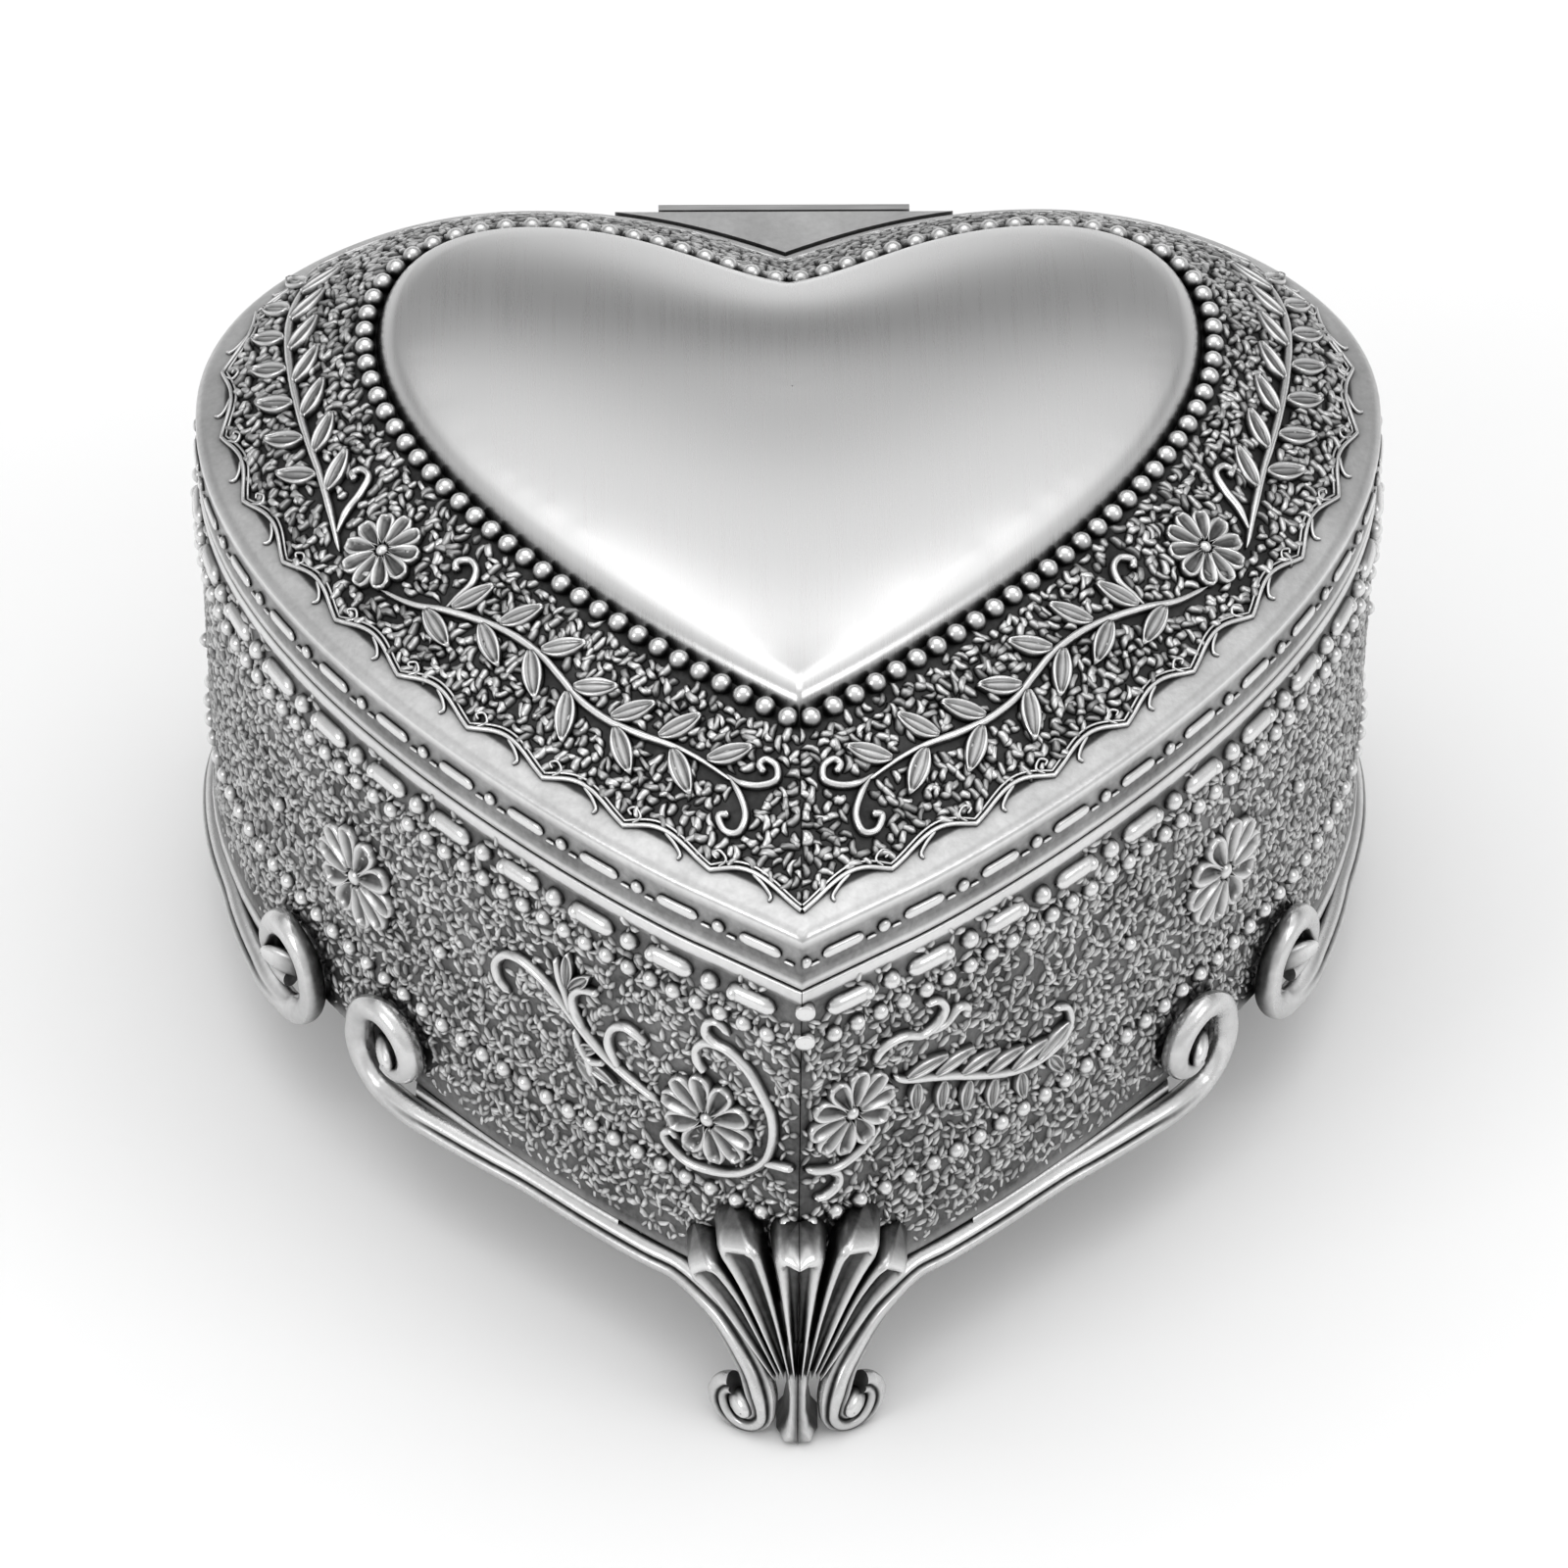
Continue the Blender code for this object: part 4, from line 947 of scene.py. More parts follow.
LEFT_STEMS = (
    ((32.4, 33.4), (33.8, 34.4), (34, 36.2), (32.7, 38), (30.9, 38.6), (28.8, 38.2), (26.7, 37.2),
     (24.6, 35.7), (22.4, 34), (19.9, 32.7), (17.4, 31.8), (14.6, 31)),
    ((23.1, 34.4), (24.4, 36.5), (24.5, 38.2), (23.4, 39.6), (21.5, 40.2)),
    ((19.2, 32.4), (20.4, 34.7), (20, 36.8), (18.6, 38), (17.3, 37.9), (16.1, 37.3)),
    ((24.6, 35.8), (25.3, 37.9), (26, 39.4), (26.5, 41.6)),
    ((24.4, 34.2), (23.6, 32.4), (22.4, 31.5), (20.8, 32.2)),
    ((22.9, 31.9), (22.6, 30.8), (22.3, 29.7)),
    ((7.2, 43.2), (8.4, 44.2), (9.5, 43.6), (9.7, 42.3), (8.7, 41.6), (7.2, 41.4), (5.3, 40.2), (3.9, 38.2),
     (2.8, 36), (2.6, 33.2), (3.4, 30), (5.7, 27.3), (8.4, 25.9), (11.3, 25.4), (13.3, 26.2), (14.2, 27.3),
     (13.4, 28.2), (12.5, 27.7)),
    ((7.4, 41.5), (9.4, 41.3), (10.6, 40), (10.6, 38.5), (9.8, 37.4)),
    ((3.5, 29.8), (1.9, 30.2), (0.4, 30.5)))
LEFT_LEAVES = ((25.2, 39, 1.62, 4.2, 1.5), (24.9, 38.8, 2.25, 3.9, 1.5), (23.9, 31.2, 3.35, 4.6, 1.5),
               (24.3, 31.6, 2.5, 3.6, 1.5), (23.9, 30.8, 3.9, 3.2, 1.5))
RIGHT_STEMS = (
    ((9.8, 36.8), (10.8, 35.9), (13.4, 34.7), (16.1, 33.3), (19.6, 31.2), (23, 29.4), (26, 28.5),
     (28.3, 28.5), (30.2, 29.3), (30.9, 30.9), (30.4, 32.6), (28.7, 33.6)),
    ((7.6, 39.6), (8.7, 41), (10.8, 41.2), (12.7, 40.3), (14.5, 40.7), (15.3, 42), (14.5, 43.4),
     (13.1, 43.7)),
    ((12.9, 40.3), (15.3, 40.2), (16.8, 41.2), (17.9, 40.6), (17.7, 39.6)),
    ((0.4, 30.5), (2, 29.5), (4, 29), (6.4, 29.8), (8.4, 31.6)),
    ((2.4, 29.4), (3.8, 28.2), (3.9, 26.8), (2.6, 26.1), (1.4, 26.3)))
FERN = RIGHT_STEMS[0][:9]


def wall_rows(relief, side):
    """Bars and beads under the seam, a close row of beads below them, and the low row."""
    bars = np.arange(FIRST_BAR, WALL_END - 4, PERIOD)
    for s in bars:
        bar(relief, WALL, s, ROW_A, *WALL_BAR, side)
        beads(relief, WALL, [s + 1.7], ROW_A, 0.85, 1.12, side)
    beads(relief, WALL, bars[:-1] + PERIOD / 2, ROW_A, *BAR_BEAD, side)
    beads(relief, WALL, np.arange(3.3, WALL_END - 1, ROW_B_STEP), ROW_B, *ROW_BEAD, side)
    beads(relief, WALL, np.arange(1.0, WALL_END - 1, ROW_C_STEP), ROW_C, *ROW_BEAD, side)
    if side > 0:
        corner_disc(relief, 49.6)
        corner_disc(relief, 46.1)


def wall_ornament(side, word, random):
    """Vines, daisies, studs and rows on one side wall, and the pattern of strokes behind them."""
    relief = Relief()
    right = RIGHT_STEMS, RIGHT_DAISIES, RIGHT_STUDS
    stems, daisies, studs = (LEFT_STEMS, LEFT_DAISIES, LEFT_STUDS) if side < 0 else right
    spots = []
    for shift, turn_back in ((0.0, 1), (2 * PATTERN_MIDDLE, -1)):
        for path in stems:
            moved = [(shift + turn_back * s, z) for s, z in path]
            spots.append(stem(relief, WALL, moved, *WALL_STEM, side, start=0.7, end=0.8))
        if side < 0:
            for s, z, turn, length, width in LEFT_LEAVES:
                grid = blade_grid(leaf_width(width), LEAF, 0.8, length)
                heading = turn if turn_back > 0 else math.pi - turn
                lay_blade(relief, WALL, shift + turn_back * s, z, heading, grid, side)
                spots.append(WALL.at(*WALL.near(shift + turn_back * s, z, heading, length / 2, 0.0))[None])
        else:
            fern = [(shift + turn_back * s, z) for s, z in FERN]
            angles, lengths = (0.62, 1.15), (4.9, 3.7)
            if turn_back < 0:
                angles, lengths = angles[::-1], lengths[::-1]
            spots.append(leaf_pairs(relief, WALL, fern, (0.05, 0.97), (6, 6), angles, lengths,
                                    1.6, 0.85, side))
        for s, z, radius in daisies:
            daisy(relief, WALL, shift + turn_back * s, z, radius, side, height=0.95)
            spots += flower_spots(WALL, shift + turn_back * s, z, (0.0, 0.35 * radius, 0.75 * radius))
        for s, z in studs:
            beads(relief, WALL, [shift + turn_back * s], z, 0.8, 1.0, side)
    wall_rows(relief, side)
    relief.build(f"wall_relief_{word}", (RELIEF,), "base", "antique_silver")
    texture = Relief()
    places = scattered(WALL, WALL_BOTTOM + 0.6, STROKE_TOP, *STROKE_SPACING, random)
    within = (places[:, 0] < WALL_END - 0.6) & (places[:, 0] > 0.7)
    places = places[within & (np.abs(places[:, 1] - ROW_A) > 1.1)]
    places = places[clear_of(WALL.at(places[:, 0], places[:, 1]), np.vstack(spots), 0.8)]
    flecks(texture, WALL, places, side, random, **STROKES)
    texture.build(f"wall_strokes_{word}", (WALL_LOOK,), "base", "antique_silver")


# ---------------------------------------------------------------- scrolls and palmettes

class Foot:
    """Places round a foot: u along the wall from its middle, z up, and `out` beyond the face."""

    def __init__(self, foot_s, u_low, u_high):
        out_range = (-2.0, 8.0)
        outs = np.linspace(*out_range, 41)
        u = np.linspace(u_low, u_high, 500)
        table = np.zeros((len(u), len(outs), 3))
        for j, out in enumerate(outs):
            line = heart_line(out - WALL_INSET)
            total = run_lengths(line)
            table[:, j, :2] = points_along(line, total, self.abreast(foot_s, line, total, out) + u)
        self.plan = Sheet(table, (u_low, u_high), out_range)

    @staticmethod
    def abreast(foot_s, line, total, out):
        """Length on the line `out` beyond the face, straight out from foot_s on the face."""
        if foot_s == 0:
            return 0.0
        face_total = run_lengths(WALL_FACE)
        here, ahead = (points_along(WALL_FACE, face_total, s) for s in (foot_s, foot_s + 0.5))
        along = (ahead - here) / np.linalg.norm(ahead - here)
        spot = here + np.array([along[1], -along[0]]) * out
        dense = np.linspace(0, total[-1], 4000)
        return dense[np.linalg.norm(points_along(line, total, dense) - spot, axis=1).argmin()]

    def at(self, u, z, out):
        u, z, out = np.broadcast_arrays(*(np.asarray(v, float) for v in (u, z, out)))
        points = self.plan.look_up(self.plan.points, u, out).copy()
        points[..., 2] = z
        return points

    def outward(self, u, out):
        way = self.plan.look_up(self.plan.across, np.asarray(u, float), np.asarray(out, float))
        return way / np.linalg.norm(way, axis=-1)[..., None]


def spiral(centre, start, end, r_start, r_end, steps):
    share = np.linspace(0, 1, steps)
    angle = start + (end - start) * share
    radius = r_start + (r_end - r_start) * share
    return centre[0] + radius * np.cos(angle), centre[1] + radius * np.sin(angle)


VOLUTE_TURNS = 2.4, 3.5, VOLUTE_RADIUS, VOLUTE_RADIUS, VOLUTE_RISE     # radius at each quarter turn
# The leg between the rail and the foot's curl: shares of its run, its drop and the foot's stand-off
LEG = (0.62, 0.93, 0.30), (0.38, 0.78, 0.52), (0.14, 0.50, 0.76), (0.03, 0.22, 0.92)
GROOVES = (42, 10, 0.36), (112, 9, 0.32)       # turn round the moulding, width in degrees, depth share
GROOVE_FADE = 12            # route points over which the grooves begin


def scroll_route(curl_u, rail_z):
    """Rows of (u, z, out, thickness) from the upper curl, along the rail, to the foot's curl."""
    quarter = math.pi / 2
    clear = RAIL_RADIUS + CLEARANCE
    turned = np.linspace(0, 4, VOLUTE_STEPS)
    radius = np.interp(turned, range(5), VOLUTE_TURNS)
    angle = (3 - turned) * quarter
    u = curl_u + radius * np.cos(angle)
    z = rail_z + VOLUTE_RISE + radius * np.sin(angle)
    thick = np.interp(turned, (0, 1, 4), (0.6, 0.85, 0.95))
    rows = [(a, b, clear, c) for a, b, c in zip(u, z, thick)]
    run = curl_u - VOLUTE_RADIUS - 2 * FOOT_CURL
    for back in np.linspace(0, run, max(4, math.ceil(run / 4) + 1)):
        out = RAIL_OUT + (clear - RAIL_OUT) * max(0.0, 1 - back / RAIL_TUCK)
        rows.append((curl_u - VOLUTE_RADIUS - back, rail_z, out, 1.0))
    foot_z = 0.921 * FOOT_CURL_RADIUS + FOOT_TUBE - 0.4
    side_u = FOOT_CURL - FOOT_CURL_RADIUS
    for u_share, z_share, out_share in LEG:
        rows.append((side_u + (2 * FOOT_CURL - side_u) * u_share, foot_z + (rail_z - foot_z) * z_share,
                     FOOT_OUT * out_share, 1.0))
    u, z = spiral((FOOT_CURL, foot_z), 2 * quarter, 4.8 * quarter, FOOT_CURL_RADIUS,
                  0.78 * FOOT_CURL_RADIUS, CURL_STEPS)
    rows += [(a, b, FOOT_OUT, FOOT_TUBE / RAIL_RADIUS) for a, b in zip(u, z)]
    return np.array(rows), (FOOT_CURL, foot_z)


def moulding_section(depth_share):
    """(turn, radius share, shade) round a moulding: a thick roll, a groove and a thin fillet."""
    turn = np.radians(np.linspace(0, 360, 40, endpoint=False))[None]
    radius = np.ones_like(turn * depth_share)
    shade = np.full_like(radius, 0.8)
    for centre, width, depth in GROOVES:
        dip = np.exp(-((np.degrees(turn) - centre) / width)**2) * depth_share
        radius -= depth * dip
        shade -= 1.1 * dip
    back = np.clip(-np.sin(turn), 0, 1)
    return turn, radius * (1 - 0.25 * back), np.clip(shade - 0.7 * back, 0, 1)


def scroll(name, foot, direction, curl_u, rail_z, side):
    """Double moulding that ends in two curls, each with a ball in its middle."""
    rows, foot_centre = scroll_route(curl_u, rail_z)
    way = smooth_path(rows, ROUTE_STEPS)
    u, z, out, thick = way.T
    points = foot.at(direction * u, z, out)
    outward = foot.outward(direction * u, out)
    ahead = np.gradient(points, axis=0)
    ahead /= np.linalg.norm(ahead, axis=1)[:, None]
    outward = outward - ahead * (outward * ahead).sum(1)[:, None]
    outward /= np.linalg.norm(outward, axis=1)[:, None]
    below = np.cross(outward, ahead) * direction
    volute_end = ROUTE_STEPS * (VOLUTE_STEPS - 1)
    grooved = np.interp(np.arange(len(way)), (volute_end, volute_end + GROOVE_FADE), (0.0, 1.0))[:, None]
    turn, radius, shade = moulding_section(grooved)
    size = RAIL_RADIUS * thick[:, None, None]
    ring = (below[:, None] * (np.cos(turn) * radius)[..., None]
            + outward[:, None] * (np.sin(turn) * radius)[..., None]) * size
    tube = points[:, None] + ring
    tube[..., 2] = np.maximum(tube[..., 2], 0.0)
    tube = np.concatenate([tube, tube[:, :1]], 1)
    shade = np.concatenate([shade, shade[:, :1]], 1)
    relief = Relief()
    winding = -side * direction
    relief.grids(tube[None], shade, side, winding=winding)
    for end in (0, -1):
        cap = points[end] + (tube[end] - points[end]) * 0.02
        pair = np.stack([cap, tube[end]] if end == 0 else [tube[end], cap])
        relief.grids(pair[None], 0.3, side, winding=winding)
    inner_roll(relief, foot, direction, rows, side)
    upper = (curl_u, rail_z + VOLUTE_RISE - 0.5)
    ball(relief, foot, direction, upper, RAIL_RADIUS + 0.6, 1.45, side)
    ball(relief, foot, direction, foot_centre, FOOT_OUT + 0.3, 1.35, side)
    return relief.build(f"{name}_moulding", (RELIEF,), "base", "antique_silver", (name,))


def inner_roll(relief, foot, direction, rows, side):
    """Thin second roll that closes the rail against the foot of the wall."""
    rail = rows[VOLUTE_STEPS:-(len(LEG) + CURL_STEPS + 2)]
    u, out = rail[:, 0] * direction, rail[:, 2] * 0.3
    points = foot.at(u, WALL_BOTTOM - 0.75, out)
    outward = foot.outward(u, out)
    turn = np.radians(np.linspace(0, 360, 13))[None, :, None]
    upward = np.array([0.0, 0.0, 1.0])
    tube = points[:, None] + (outward[:, None] * np.cos(turn) + upward * np.sin(turn)) * 0.8
    relief.grids(tube[None], 0.8, side, winding=side * direction)


def ball(relief, foot, direction, centre, out, radius, side):
    around = np.linspace(0, 2 * math.pi, 16, endpoint=False)[:, None]
    rise = np.radians([-40, -15, 10, 32, 52, 70, 87])[None, :]
    u_all = direction * centre[0] + radius * np.cos(around) * np.cos(rise)
    z_all = centre[1] + radius * np.sin(around) * np.cos(rise)
    out_all = out + radius * np.sin(rise) * np.ones_like(around)
    shade = np.clip(0.25 + np.sin(rise), 0, 1) * np.ones_like(around)
    relief.grids(foot.at(u_all, z_all, out_all)[None], shade, side, closed=True)


# Palmette lobes from the middle outwards: (u, z) of the base, (u, z) of the tip, and width
LOBES = (0.0, 7.4, 0.0, 24.2, 6.2), (1.0, 7.2, 7.2, 22.6, 5.6), (1.9, 6.8, 11.2, 17.8, 4.6)
LOBE_LIFT = 1.1             # how far a lobe's top leans out past its base
# Heights and half widths of the web between the two legs
FOOT_Z = np.array([0.3, 1.6, 3.5, 5.5, 7.5, 9.5, 11.5])
FOOT_HALF = np.array([2.3, 1.5, 1.15, 1.15, 1.5, 2.2, 1.6])


def fan_out(z):
    return FAN_SEAT + FAN_LEAN * np.maximum(0.0, 1 - z / WALL_BOTTOM)


def rise_share(ahead):
    """How far each place of a lobe stands off the wall, rounded at the lobe's sides and top."""
    u = ahead / ahead.max()
    top = np.sqrt(np.clip(1 - np.clip((u - 0.92) / 0.08, 0, 1)**2, 0, 1))
    sides = np.interp(np.abs(ACROSS), (0, 0.74, 0.9, 1), (1, 1, 0.82, 0))
    return top * sides * np.clip(u / 0.03, 0, 1)


def lobe_grid(width, length):
    """Grid of one lobe, widest near its round top, with a thick rim and a shallow dish."""
    u = np.r_[0, 0.04, 0.1, np.linspace(0.2, 0.8, 8), 0.83, 0.86, 0.89, 0.92, 0.945, 0.965, 0.985, 1][:, None]
    half = width / 2 * np.minimum(1, 0.12 + 0.88 * (u / 0.84)**0.9)
    half = half * np.sqrt(np.clip(1 - np.clip((u - 0.84) / 0.16, 0, 1)**2, 0.0004, 1))
    solid = np.clip((u - 0.88) / 0.04, 0, 1) * (np.abs(ACROSS) < 0.8)
    dish = mirrored((0.2, 0.75, 1, 0.95, 0.2, -0.1))
    shade = mirrored((0, 0.6, 1, 0.95, 0.15, 0.08))
    rise, shade = ((part + (1 - part) * solid) * np.ones_like(u) for part in (dish, shade))
    # Painted shade: the top end of each lobe, where it rolls back to the wall, is darkened as if in shadow
    shade = shade * (1 - 0.8 * np.clip((u - 0.94) / 0.05, 0, 1))
    rise = rise + LOBE_LIFT * np.clip((u - 0.5) / 0.4, 0, 1)**2
    return u * length * np.ones_like(ACROSS), half * ACROSS, rise, shade


def palmette(name, foot, hands, side):
    """Five dished lobes that roll outwards at their tops, and the web between the two legs."""
    relief = Relief()
    for u0, z0, u1, z1, width in LOBES:
        for hand in hands if u0 else hands[:1]:
            turn = math.atan2(z1 - z0, hand * (u1 - u0))
            ahead, left, rise, shade = lobe_grid(width, math.hypot(u1 - u0, z1 - z0))
            u = hand * u0 + ahead * math.cos(turn) - left * math.sin(turn)
            z = z0 + ahead * math.sin(turn) + left * math.cos(turn)
            out = CLEARANCE + (fan_out(z) + rise - CLEARANCE) * rise_share(ahead)
            if len(hands) == 1:
                u = np.maximum(u, SEAM)
            relief.grids(foot.at(u, z, out)[None], shade, side)
    across = np.array([-1, -0.98, -0.6, -0.15, 0.15, 0.6, 0.98, 1])
    across = np.maximum(across, 0) if len(hands) == 1 else across
    u = np.maximum(across * FOOT_HALF[:, None], SEAM if len(hands) == 1 else -9)
    z = FOOT_Z[:, None] * np.ones_like(across)
    rise = np.array([-3.0, -0.5, 0.5, 0.15, 0.15, 0.5, -0.5, -3.0]) * np.ones_like(u)
    shade = np.array([0, 0.3, 1, 0.4, 0.4, 1, 0.3, 0])
    relief.grids(foot.at(u, z, fan_out(z) + rise)[None, :, ::-1], shade, side)
    return relief.build(f"{name}_lobes", (RELIEF,), "base", "antique_silver", (name,))


def feet():
    front = Foot(0.0, 0.0, 64.0)
    rear = Foot(REAR_FOOT, -(REAR_FOOT - REAR_CURL) - 6.0, 30.0)
    for word, side in (("left", -1), ("right", 1)):
        scroll(f"front_scroll_{word}", front, 1, FRONT_CURL, RAIL_Z, side)
        scroll(f"rear_scroll_{word}", rear, -1, REAR_FOOT - REAR_CURL, REAR_RAIL_Z, side)
        scroll(f"back_scroll_{word}", rear, 1, REAR_FOOT_FROM_END - BACK_CURL_FROM_END, REAR_RAIL_Z, side)
        palmette(f"front_palmette_{word}", front, (1,), side)
        palmette(f"rear_palmette_{word}", rear, (1, -1), side)


# ---------------------------------------------------------------- linings

LID_PAD_EDGE = 2.7          # lid's edge to its pad
PAD_CROWN = 0.1             # share of a pad's thickness that swells in its middle


def pad(name, outline, z_face, z_back, crown, node_name, body):
    """Glued velvet pad: a flat back, a rolled edge and a softly crowned face."""
    film = pillow(outline)
    centre = np.array([0.0, outline[:, 1].mean()])
    up = 1 if z_face > z_back else -1
    thick = abs(z_face - z_back)
    rings = []
    for scale in (0.0005, 0.5, 0.96):
        rings.append(np.column_stack([centre + (outline - centre) * scale, np.full(len(outline), z_back)]))
    for share, height in ((0.985, 0.12), (0.997, 0.35), (1.0, 0.55)):
        flat = centre + (outline - centre) * share
        rings.append(np.column_stack([flat, np.full(len(outline), z_back + up * thick * height)]))
    for share in (0.995, 0.98, 0.95, 0.9, 0.82, 0.72, 0.6, 0.46, 0.3, 0.15, 0.05, 0.0005):
        flat = centre + (outline - centre) * share
        soft = 1 - (1 - film(flat))**6
        ripple = 0.05 * np.sin(flat[:, 0] * 0.35) * np.sin(flat[:, 1] * 0.28)
        swell = thick * (0.62 + (0.38 - crown) * soft) + crown * thick * film(flat)
        height = z_back + up * (swell + ripple * soft)
        rings.append(np.column_stack([flat, height]))
    grid = np.stack(rings, 1)
    relief = Relief()
    relief.grids(grid[None], 0.5, closed=True)
    thing = relief.build(name, (VELVET,), body, "velvet", (node_name,))
    if up < 0:
        thing.data.flip_normals()
    return thing


def node_outline(node_name, count=300):
    """Plan outline of a CAD plate, from its vertices in order of angle round its middle."""
    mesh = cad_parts[node_name].data
    points = np.array([v.co[:2] for v in mesh.vertices]) / MM
    points = np.unique(np.round(points, 3), axis=0)
    middle = np.array([0.0, points[:, 1].mean() + 6])
    turn = np.arctan2(points[:, 0] - middle[0], -(points[:, 1] - middle[1]))
    loop = points[np.argsort(turn)]
    closed = resampled(np.vstack([loop, loop[:1]]), count + 1)
    return closed[:-1]


def wall_lining(name, side):
    """Velvet-covered card inside one side wall, rolled over along its top edge."""
    low, high = (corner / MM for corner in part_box(name))
    face, back = -(WALL_THICKNESS + CLEARANCE), -(WALL_THICKNESS + CLEARANCE + 1.0)
    profile = [(back, low.z), (back, high.z - 0.9), (back - 0.05, high.z - 0.5), (back + 0.2, high.z - 0.12),
               (back + 0.5, high.z), (back + 0.8, high.z - 0.15), (face, high.z - 0.5), (face, low.z)]
    rows = []
    for out, z in profile:
        line = heart_line(out - WALL_INSET)
        total = run_lengths(line)
        plan = points_along(line, total, np.linspace(0.2, length_to_back(line) - 0.1, 240))
        plan[:, 0] = np.maximum(plan[:, 0], 0.15)
        rows.append(np.column_stack([plan, np.full(240, z)]))
    grid = np.stack(rows + rows[:1], 1)
    relief = Relief()
    relief.grids(grid[None, :, ::-1], 0.5, side)
    return relief.build(f"{name}_velvet", (VELVET,), "base", "velvet", (name,))


def back_lining():
    low, high = (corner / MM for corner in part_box("lining_back"))
    x = np.linspace(low.x, high.x, 60)
    profile = [(low.y, low.z), (low.y, high.z - 0.8), (low.y + 0.15, high.z - 0.15), (low.y + 0.5, high.z),
               (high.y - 0.15, high.z - 0.2), (high.y, high.z - 0.6), (high.y, low.z)]
    rows = [np.column_stack([x, np.full(60, y), np.full(60, z)]) for y, z in profile]
    grid = np.stack(rows + rows[:1], 1)
    relief = Relief()
    relief.grids(grid[None], 0.5)
    return relief.build("lining_back_velvet", (VELVET,), "base", "velvet", ("lining_back",))


# ---------------------------------------------------------------- carried-over CAD nodes

def dress_node(name, look, bevel):
    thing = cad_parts[name]
    thing.data.materials.clear()
    thing.data.materials.append(look)
    if bevel:
        rounded = thing.modifiers.new("edges", "BEVEL")
        rounded.width = bevel * MM
        rounded.segments = 2
        rounded.limit_method = "ANGLE"
        rounded.angle_limit = math.radians(40)


HINGE_HALF, HINGE_FOOT = 12.8, 43.2     # half width and lower edge of the ground kept bare for the hinge
BACK_ROW = 41.5             # bead row just under the hinge


def back_ornament(random):
    """The rows and the stroke pattern carried on across the flat back panel."""
    relief, texture = Relief(), Relief()
    for side in (1, -1):
        reach = BACK_HALF - 1.2
        for s in np.arange(PERIOD / 2, reach - 2, PERIOD):
            if s > 15:
                bar(relief, BACK, s, ROW_A, *WALL_BAR, side)
                beads(relief, BACK, [s - PERIOD / 2], ROW_A, *BAR_BEAD, side)
        beads(relief, BACK, np.arange(1.3, reach, ROW_B_STEP), BACK_ROW, *ROW_BEAD, side)
        beads(relief, BACK, np.arange(1.3, reach, ROW_C_STEP), ROW_C, *ROW_BEAD, side)
        places = scattered(BACK, WALL_BOTTOM + 1.0, STROKE_TOP, *STROKE_SPACING, random)
        hinge = (places[:, 0] < HINGE_HALF) & (places[:, 1] > HINGE_FOOT)
        places = places[~hinge & (places[:, 0] > 0.3) & (places[:, 0] < reach)]
        flecks(texture, BACK, places, side, random, **STROKES)
    relief.build("back_relief", (RELIEF,), "base", "antique_silver")
    texture.build("back_strokes", (WALL_LOOK,), "base", "antique_silver")


# ---------------------------------------------------------------- camera, floor and light

def camera():
    """Three-quarter view from above the front point, a long lens about 0.66 m away."""
    data = bpy.data.cameras.new("camera")
    data.sensor_width, data.lens = 36, 176.1
    data.clip_start, data.clip_end = 0.05, 20
    thing = bpy.data.objects.new("camera", data)
    bpy.context.scene.collection.objects.link(thing)
    azimuth, elevation, roll = (math.radians(a) for a in (-1.3, 42.0, 0.6))
    back = Vector((math.sin(azimuth) * math.cos(elevation), -math.cos(azimuth) * math.cos(elevation),
                   math.sin(elevation)))
    target = Vector((-1.47, -38.43, 66.04)) * MM
    turn = back.to_track_quat("Z", "Y").to_matrix().to_4x4() @ Matrix.Rotation(roll, 4, "Z")
    thing.matrix_world = Matrix.Translation(target + back * 0.661) @ turn
    bpy.context.scene.camera = thing
    bpy.context.scene.view_settings.view_transform = "Standard"


def floor():
    look, tree, shader, place = new_material("paper")
    colour = ramp(tree, noise(tree, place, 6, 2), ((0.0, 0.90), (1.0, 0.93)))
    tree.links.new(colour, shader.inputs["Base Color"])
    shader.inputs["Roughness"].default_value = 0.85
    mesh = bpy.data.meshes.new("floor")
    size = 6.0
    corners = [(-size, -size, 0), (size, -size, 0), (size, size, 0), (-size, size, 0)]
    mesh.from_pydata(corners, [], [(0, 1, 2, 3)])
    mesh.materials.append(look)
    thing = bpy.data.objects.new("floor", mesh)
    thing.location.z = -0.0002
    bpy.context.scene.collection.objects.link(thing)


def softbox(name, place, target, size, power):
    data = bpy.data.lights.new(name, "AREA")
    data.shape = "RECTANGLE"
    data.size, data.size_y = size
    data.energy = power
    thing = bpy.data.objects.new(name, data)
    thing.location = place
    thing.rotation_euler = (Vector(place) - Vector(target)).to_track_quat("Z", "Y").to_euler()
    bpy.context.scene.collection.objects.link(thing)


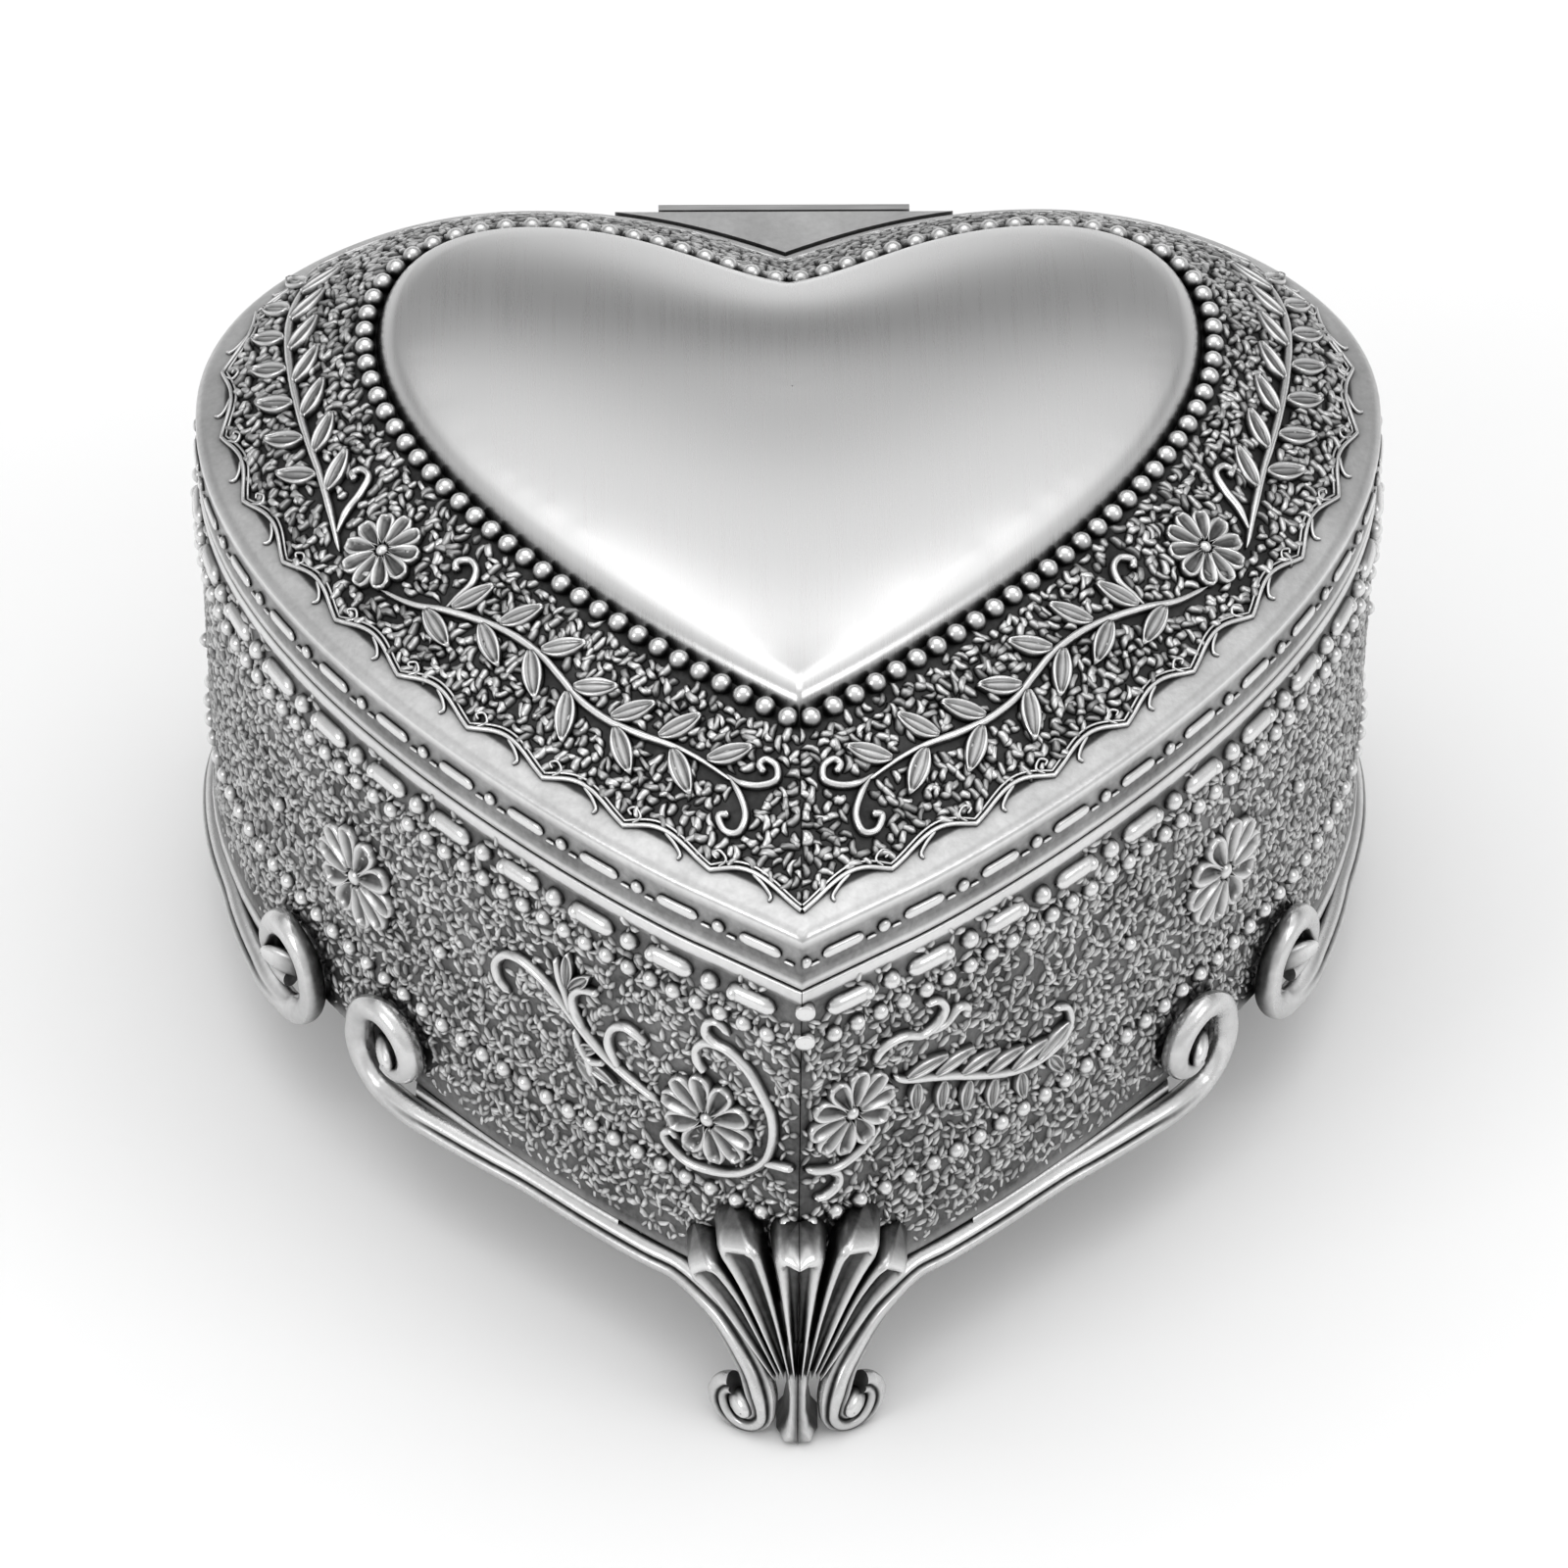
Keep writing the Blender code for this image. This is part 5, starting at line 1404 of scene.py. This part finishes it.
def lights():
    """A wide softbox overhead, two at the sides and an even pale room, dimmer low behind."""
    aim = (0, 0, 0.04)
    softbox("top", (0, 0.1, 1.0), aim, (1.0, 0.8), 2.4)
    softbox("front_left", (-0.9, -0.6, 0.6), aim, (0.4, 0.4), 2.5)
    softbox("front_right", (0.9, -0.4, 0.7), aim, (0.4, 0.4), 1.5)
    world = bpy.data.worlds.new("room")
    bpy.context.scene.world = world
    world.use_nodes = True
    tree = world.node_tree
    split = node(tree, "ShaderNodeSeparateXYZ")
    tree.links.new(node(tree, "ShaderNodeTexCoord").outputs["Generated"], split.inputs["Vector"])
    level = maths(tree, "ADD", maths(tree, "MULTIPLY", split.outputs["Z"], 0.5), 0.5)
    plain = ramp(tree, level, ((0.0, 0.8), (0.52, 0.72), (0.7, 0.66), (0.8, 0.9), (1.0, 0.8)))
    banded = ramp(tree, level, ((0.0, 0.8), (0.56, 0.78), (0.64, 0.7), (0.71, 0.3), (0.775, 0.16),
                                (0.82, 0.75), (0.87, 0.92), (1.0, 0.78)))
    blend = node(tree, "ShaderNodeMixRGB")
    behind = node(tree, "ShaderNodeMapRange", interpolation_type="SMOOTHSTEP")
    behind.inputs["From Min"].default_value, behind.inputs["From Max"].default_value = 0.0, 0.6
    tree.links.new(split.outputs["Y"], behind.inputs["Value"])
    tree.links.new(behind.outputs["Result"], blend.inputs["Fac"])
    tree.links.new(plain, blend.inputs["Color1"])
    tree.links.new(banded, blend.inputs["Color2"])
    background = tree.nodes["Background"]
    tree.links.new(blend.outputs["Color"], background.inputs["Color"])
    background.inputs["Strength"].default_value = 1.12


# ---------------------------------------------------------------- assembly

def main():
    random = np.random.default_rng(SEED)
    camera()
    floor()
    lights()
    lid_shell()
    lid_rim_and_pearls()
    for word, side in (("left", -1), ("right", 1)):
        lid_ornament(side, word, random)
        wall_skin(word, side)
        wall_ornament(side, word, random)
        wall_lining(f"lining_{word}", side)
    back_ornament(random)
    feet()
    back_lining()
    floor_low, floor_high = (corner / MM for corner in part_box("lining_floor"))
    floor_outline = node_outline("lining_floor")
    pad("floor_pad", floor_outline, floor_high.z, floor_low.z, PAD_CROWN, "lining_floor", "base")
    lid_low, lid_high = (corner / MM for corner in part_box("lid_lining"))
    lid_outline = whole_heart(resampled(heart_line(-LID_PAD_EDGE), 160))
    pad("lid_pad", lid_outline, lid_low.z, lid_high.z, PAD_CROWN, "lid_lining", "lid")
    cast = plain_silver("plain_cast_silver", 0.62)
    dark = plain_silver("dark_cast_silver", 0.2)
    dress_node("lid_back_plate", cast, 0.25)
    dress_node("back_panel", dark, 0.2)
    dress_node("bottom_plate", STEEL, 0.2)
    for name in ("hinge_leaf_lower", "hinge_leaf_upper", "hinge_pin"):
        dress_node(name, STEEL, 0.12)


main()
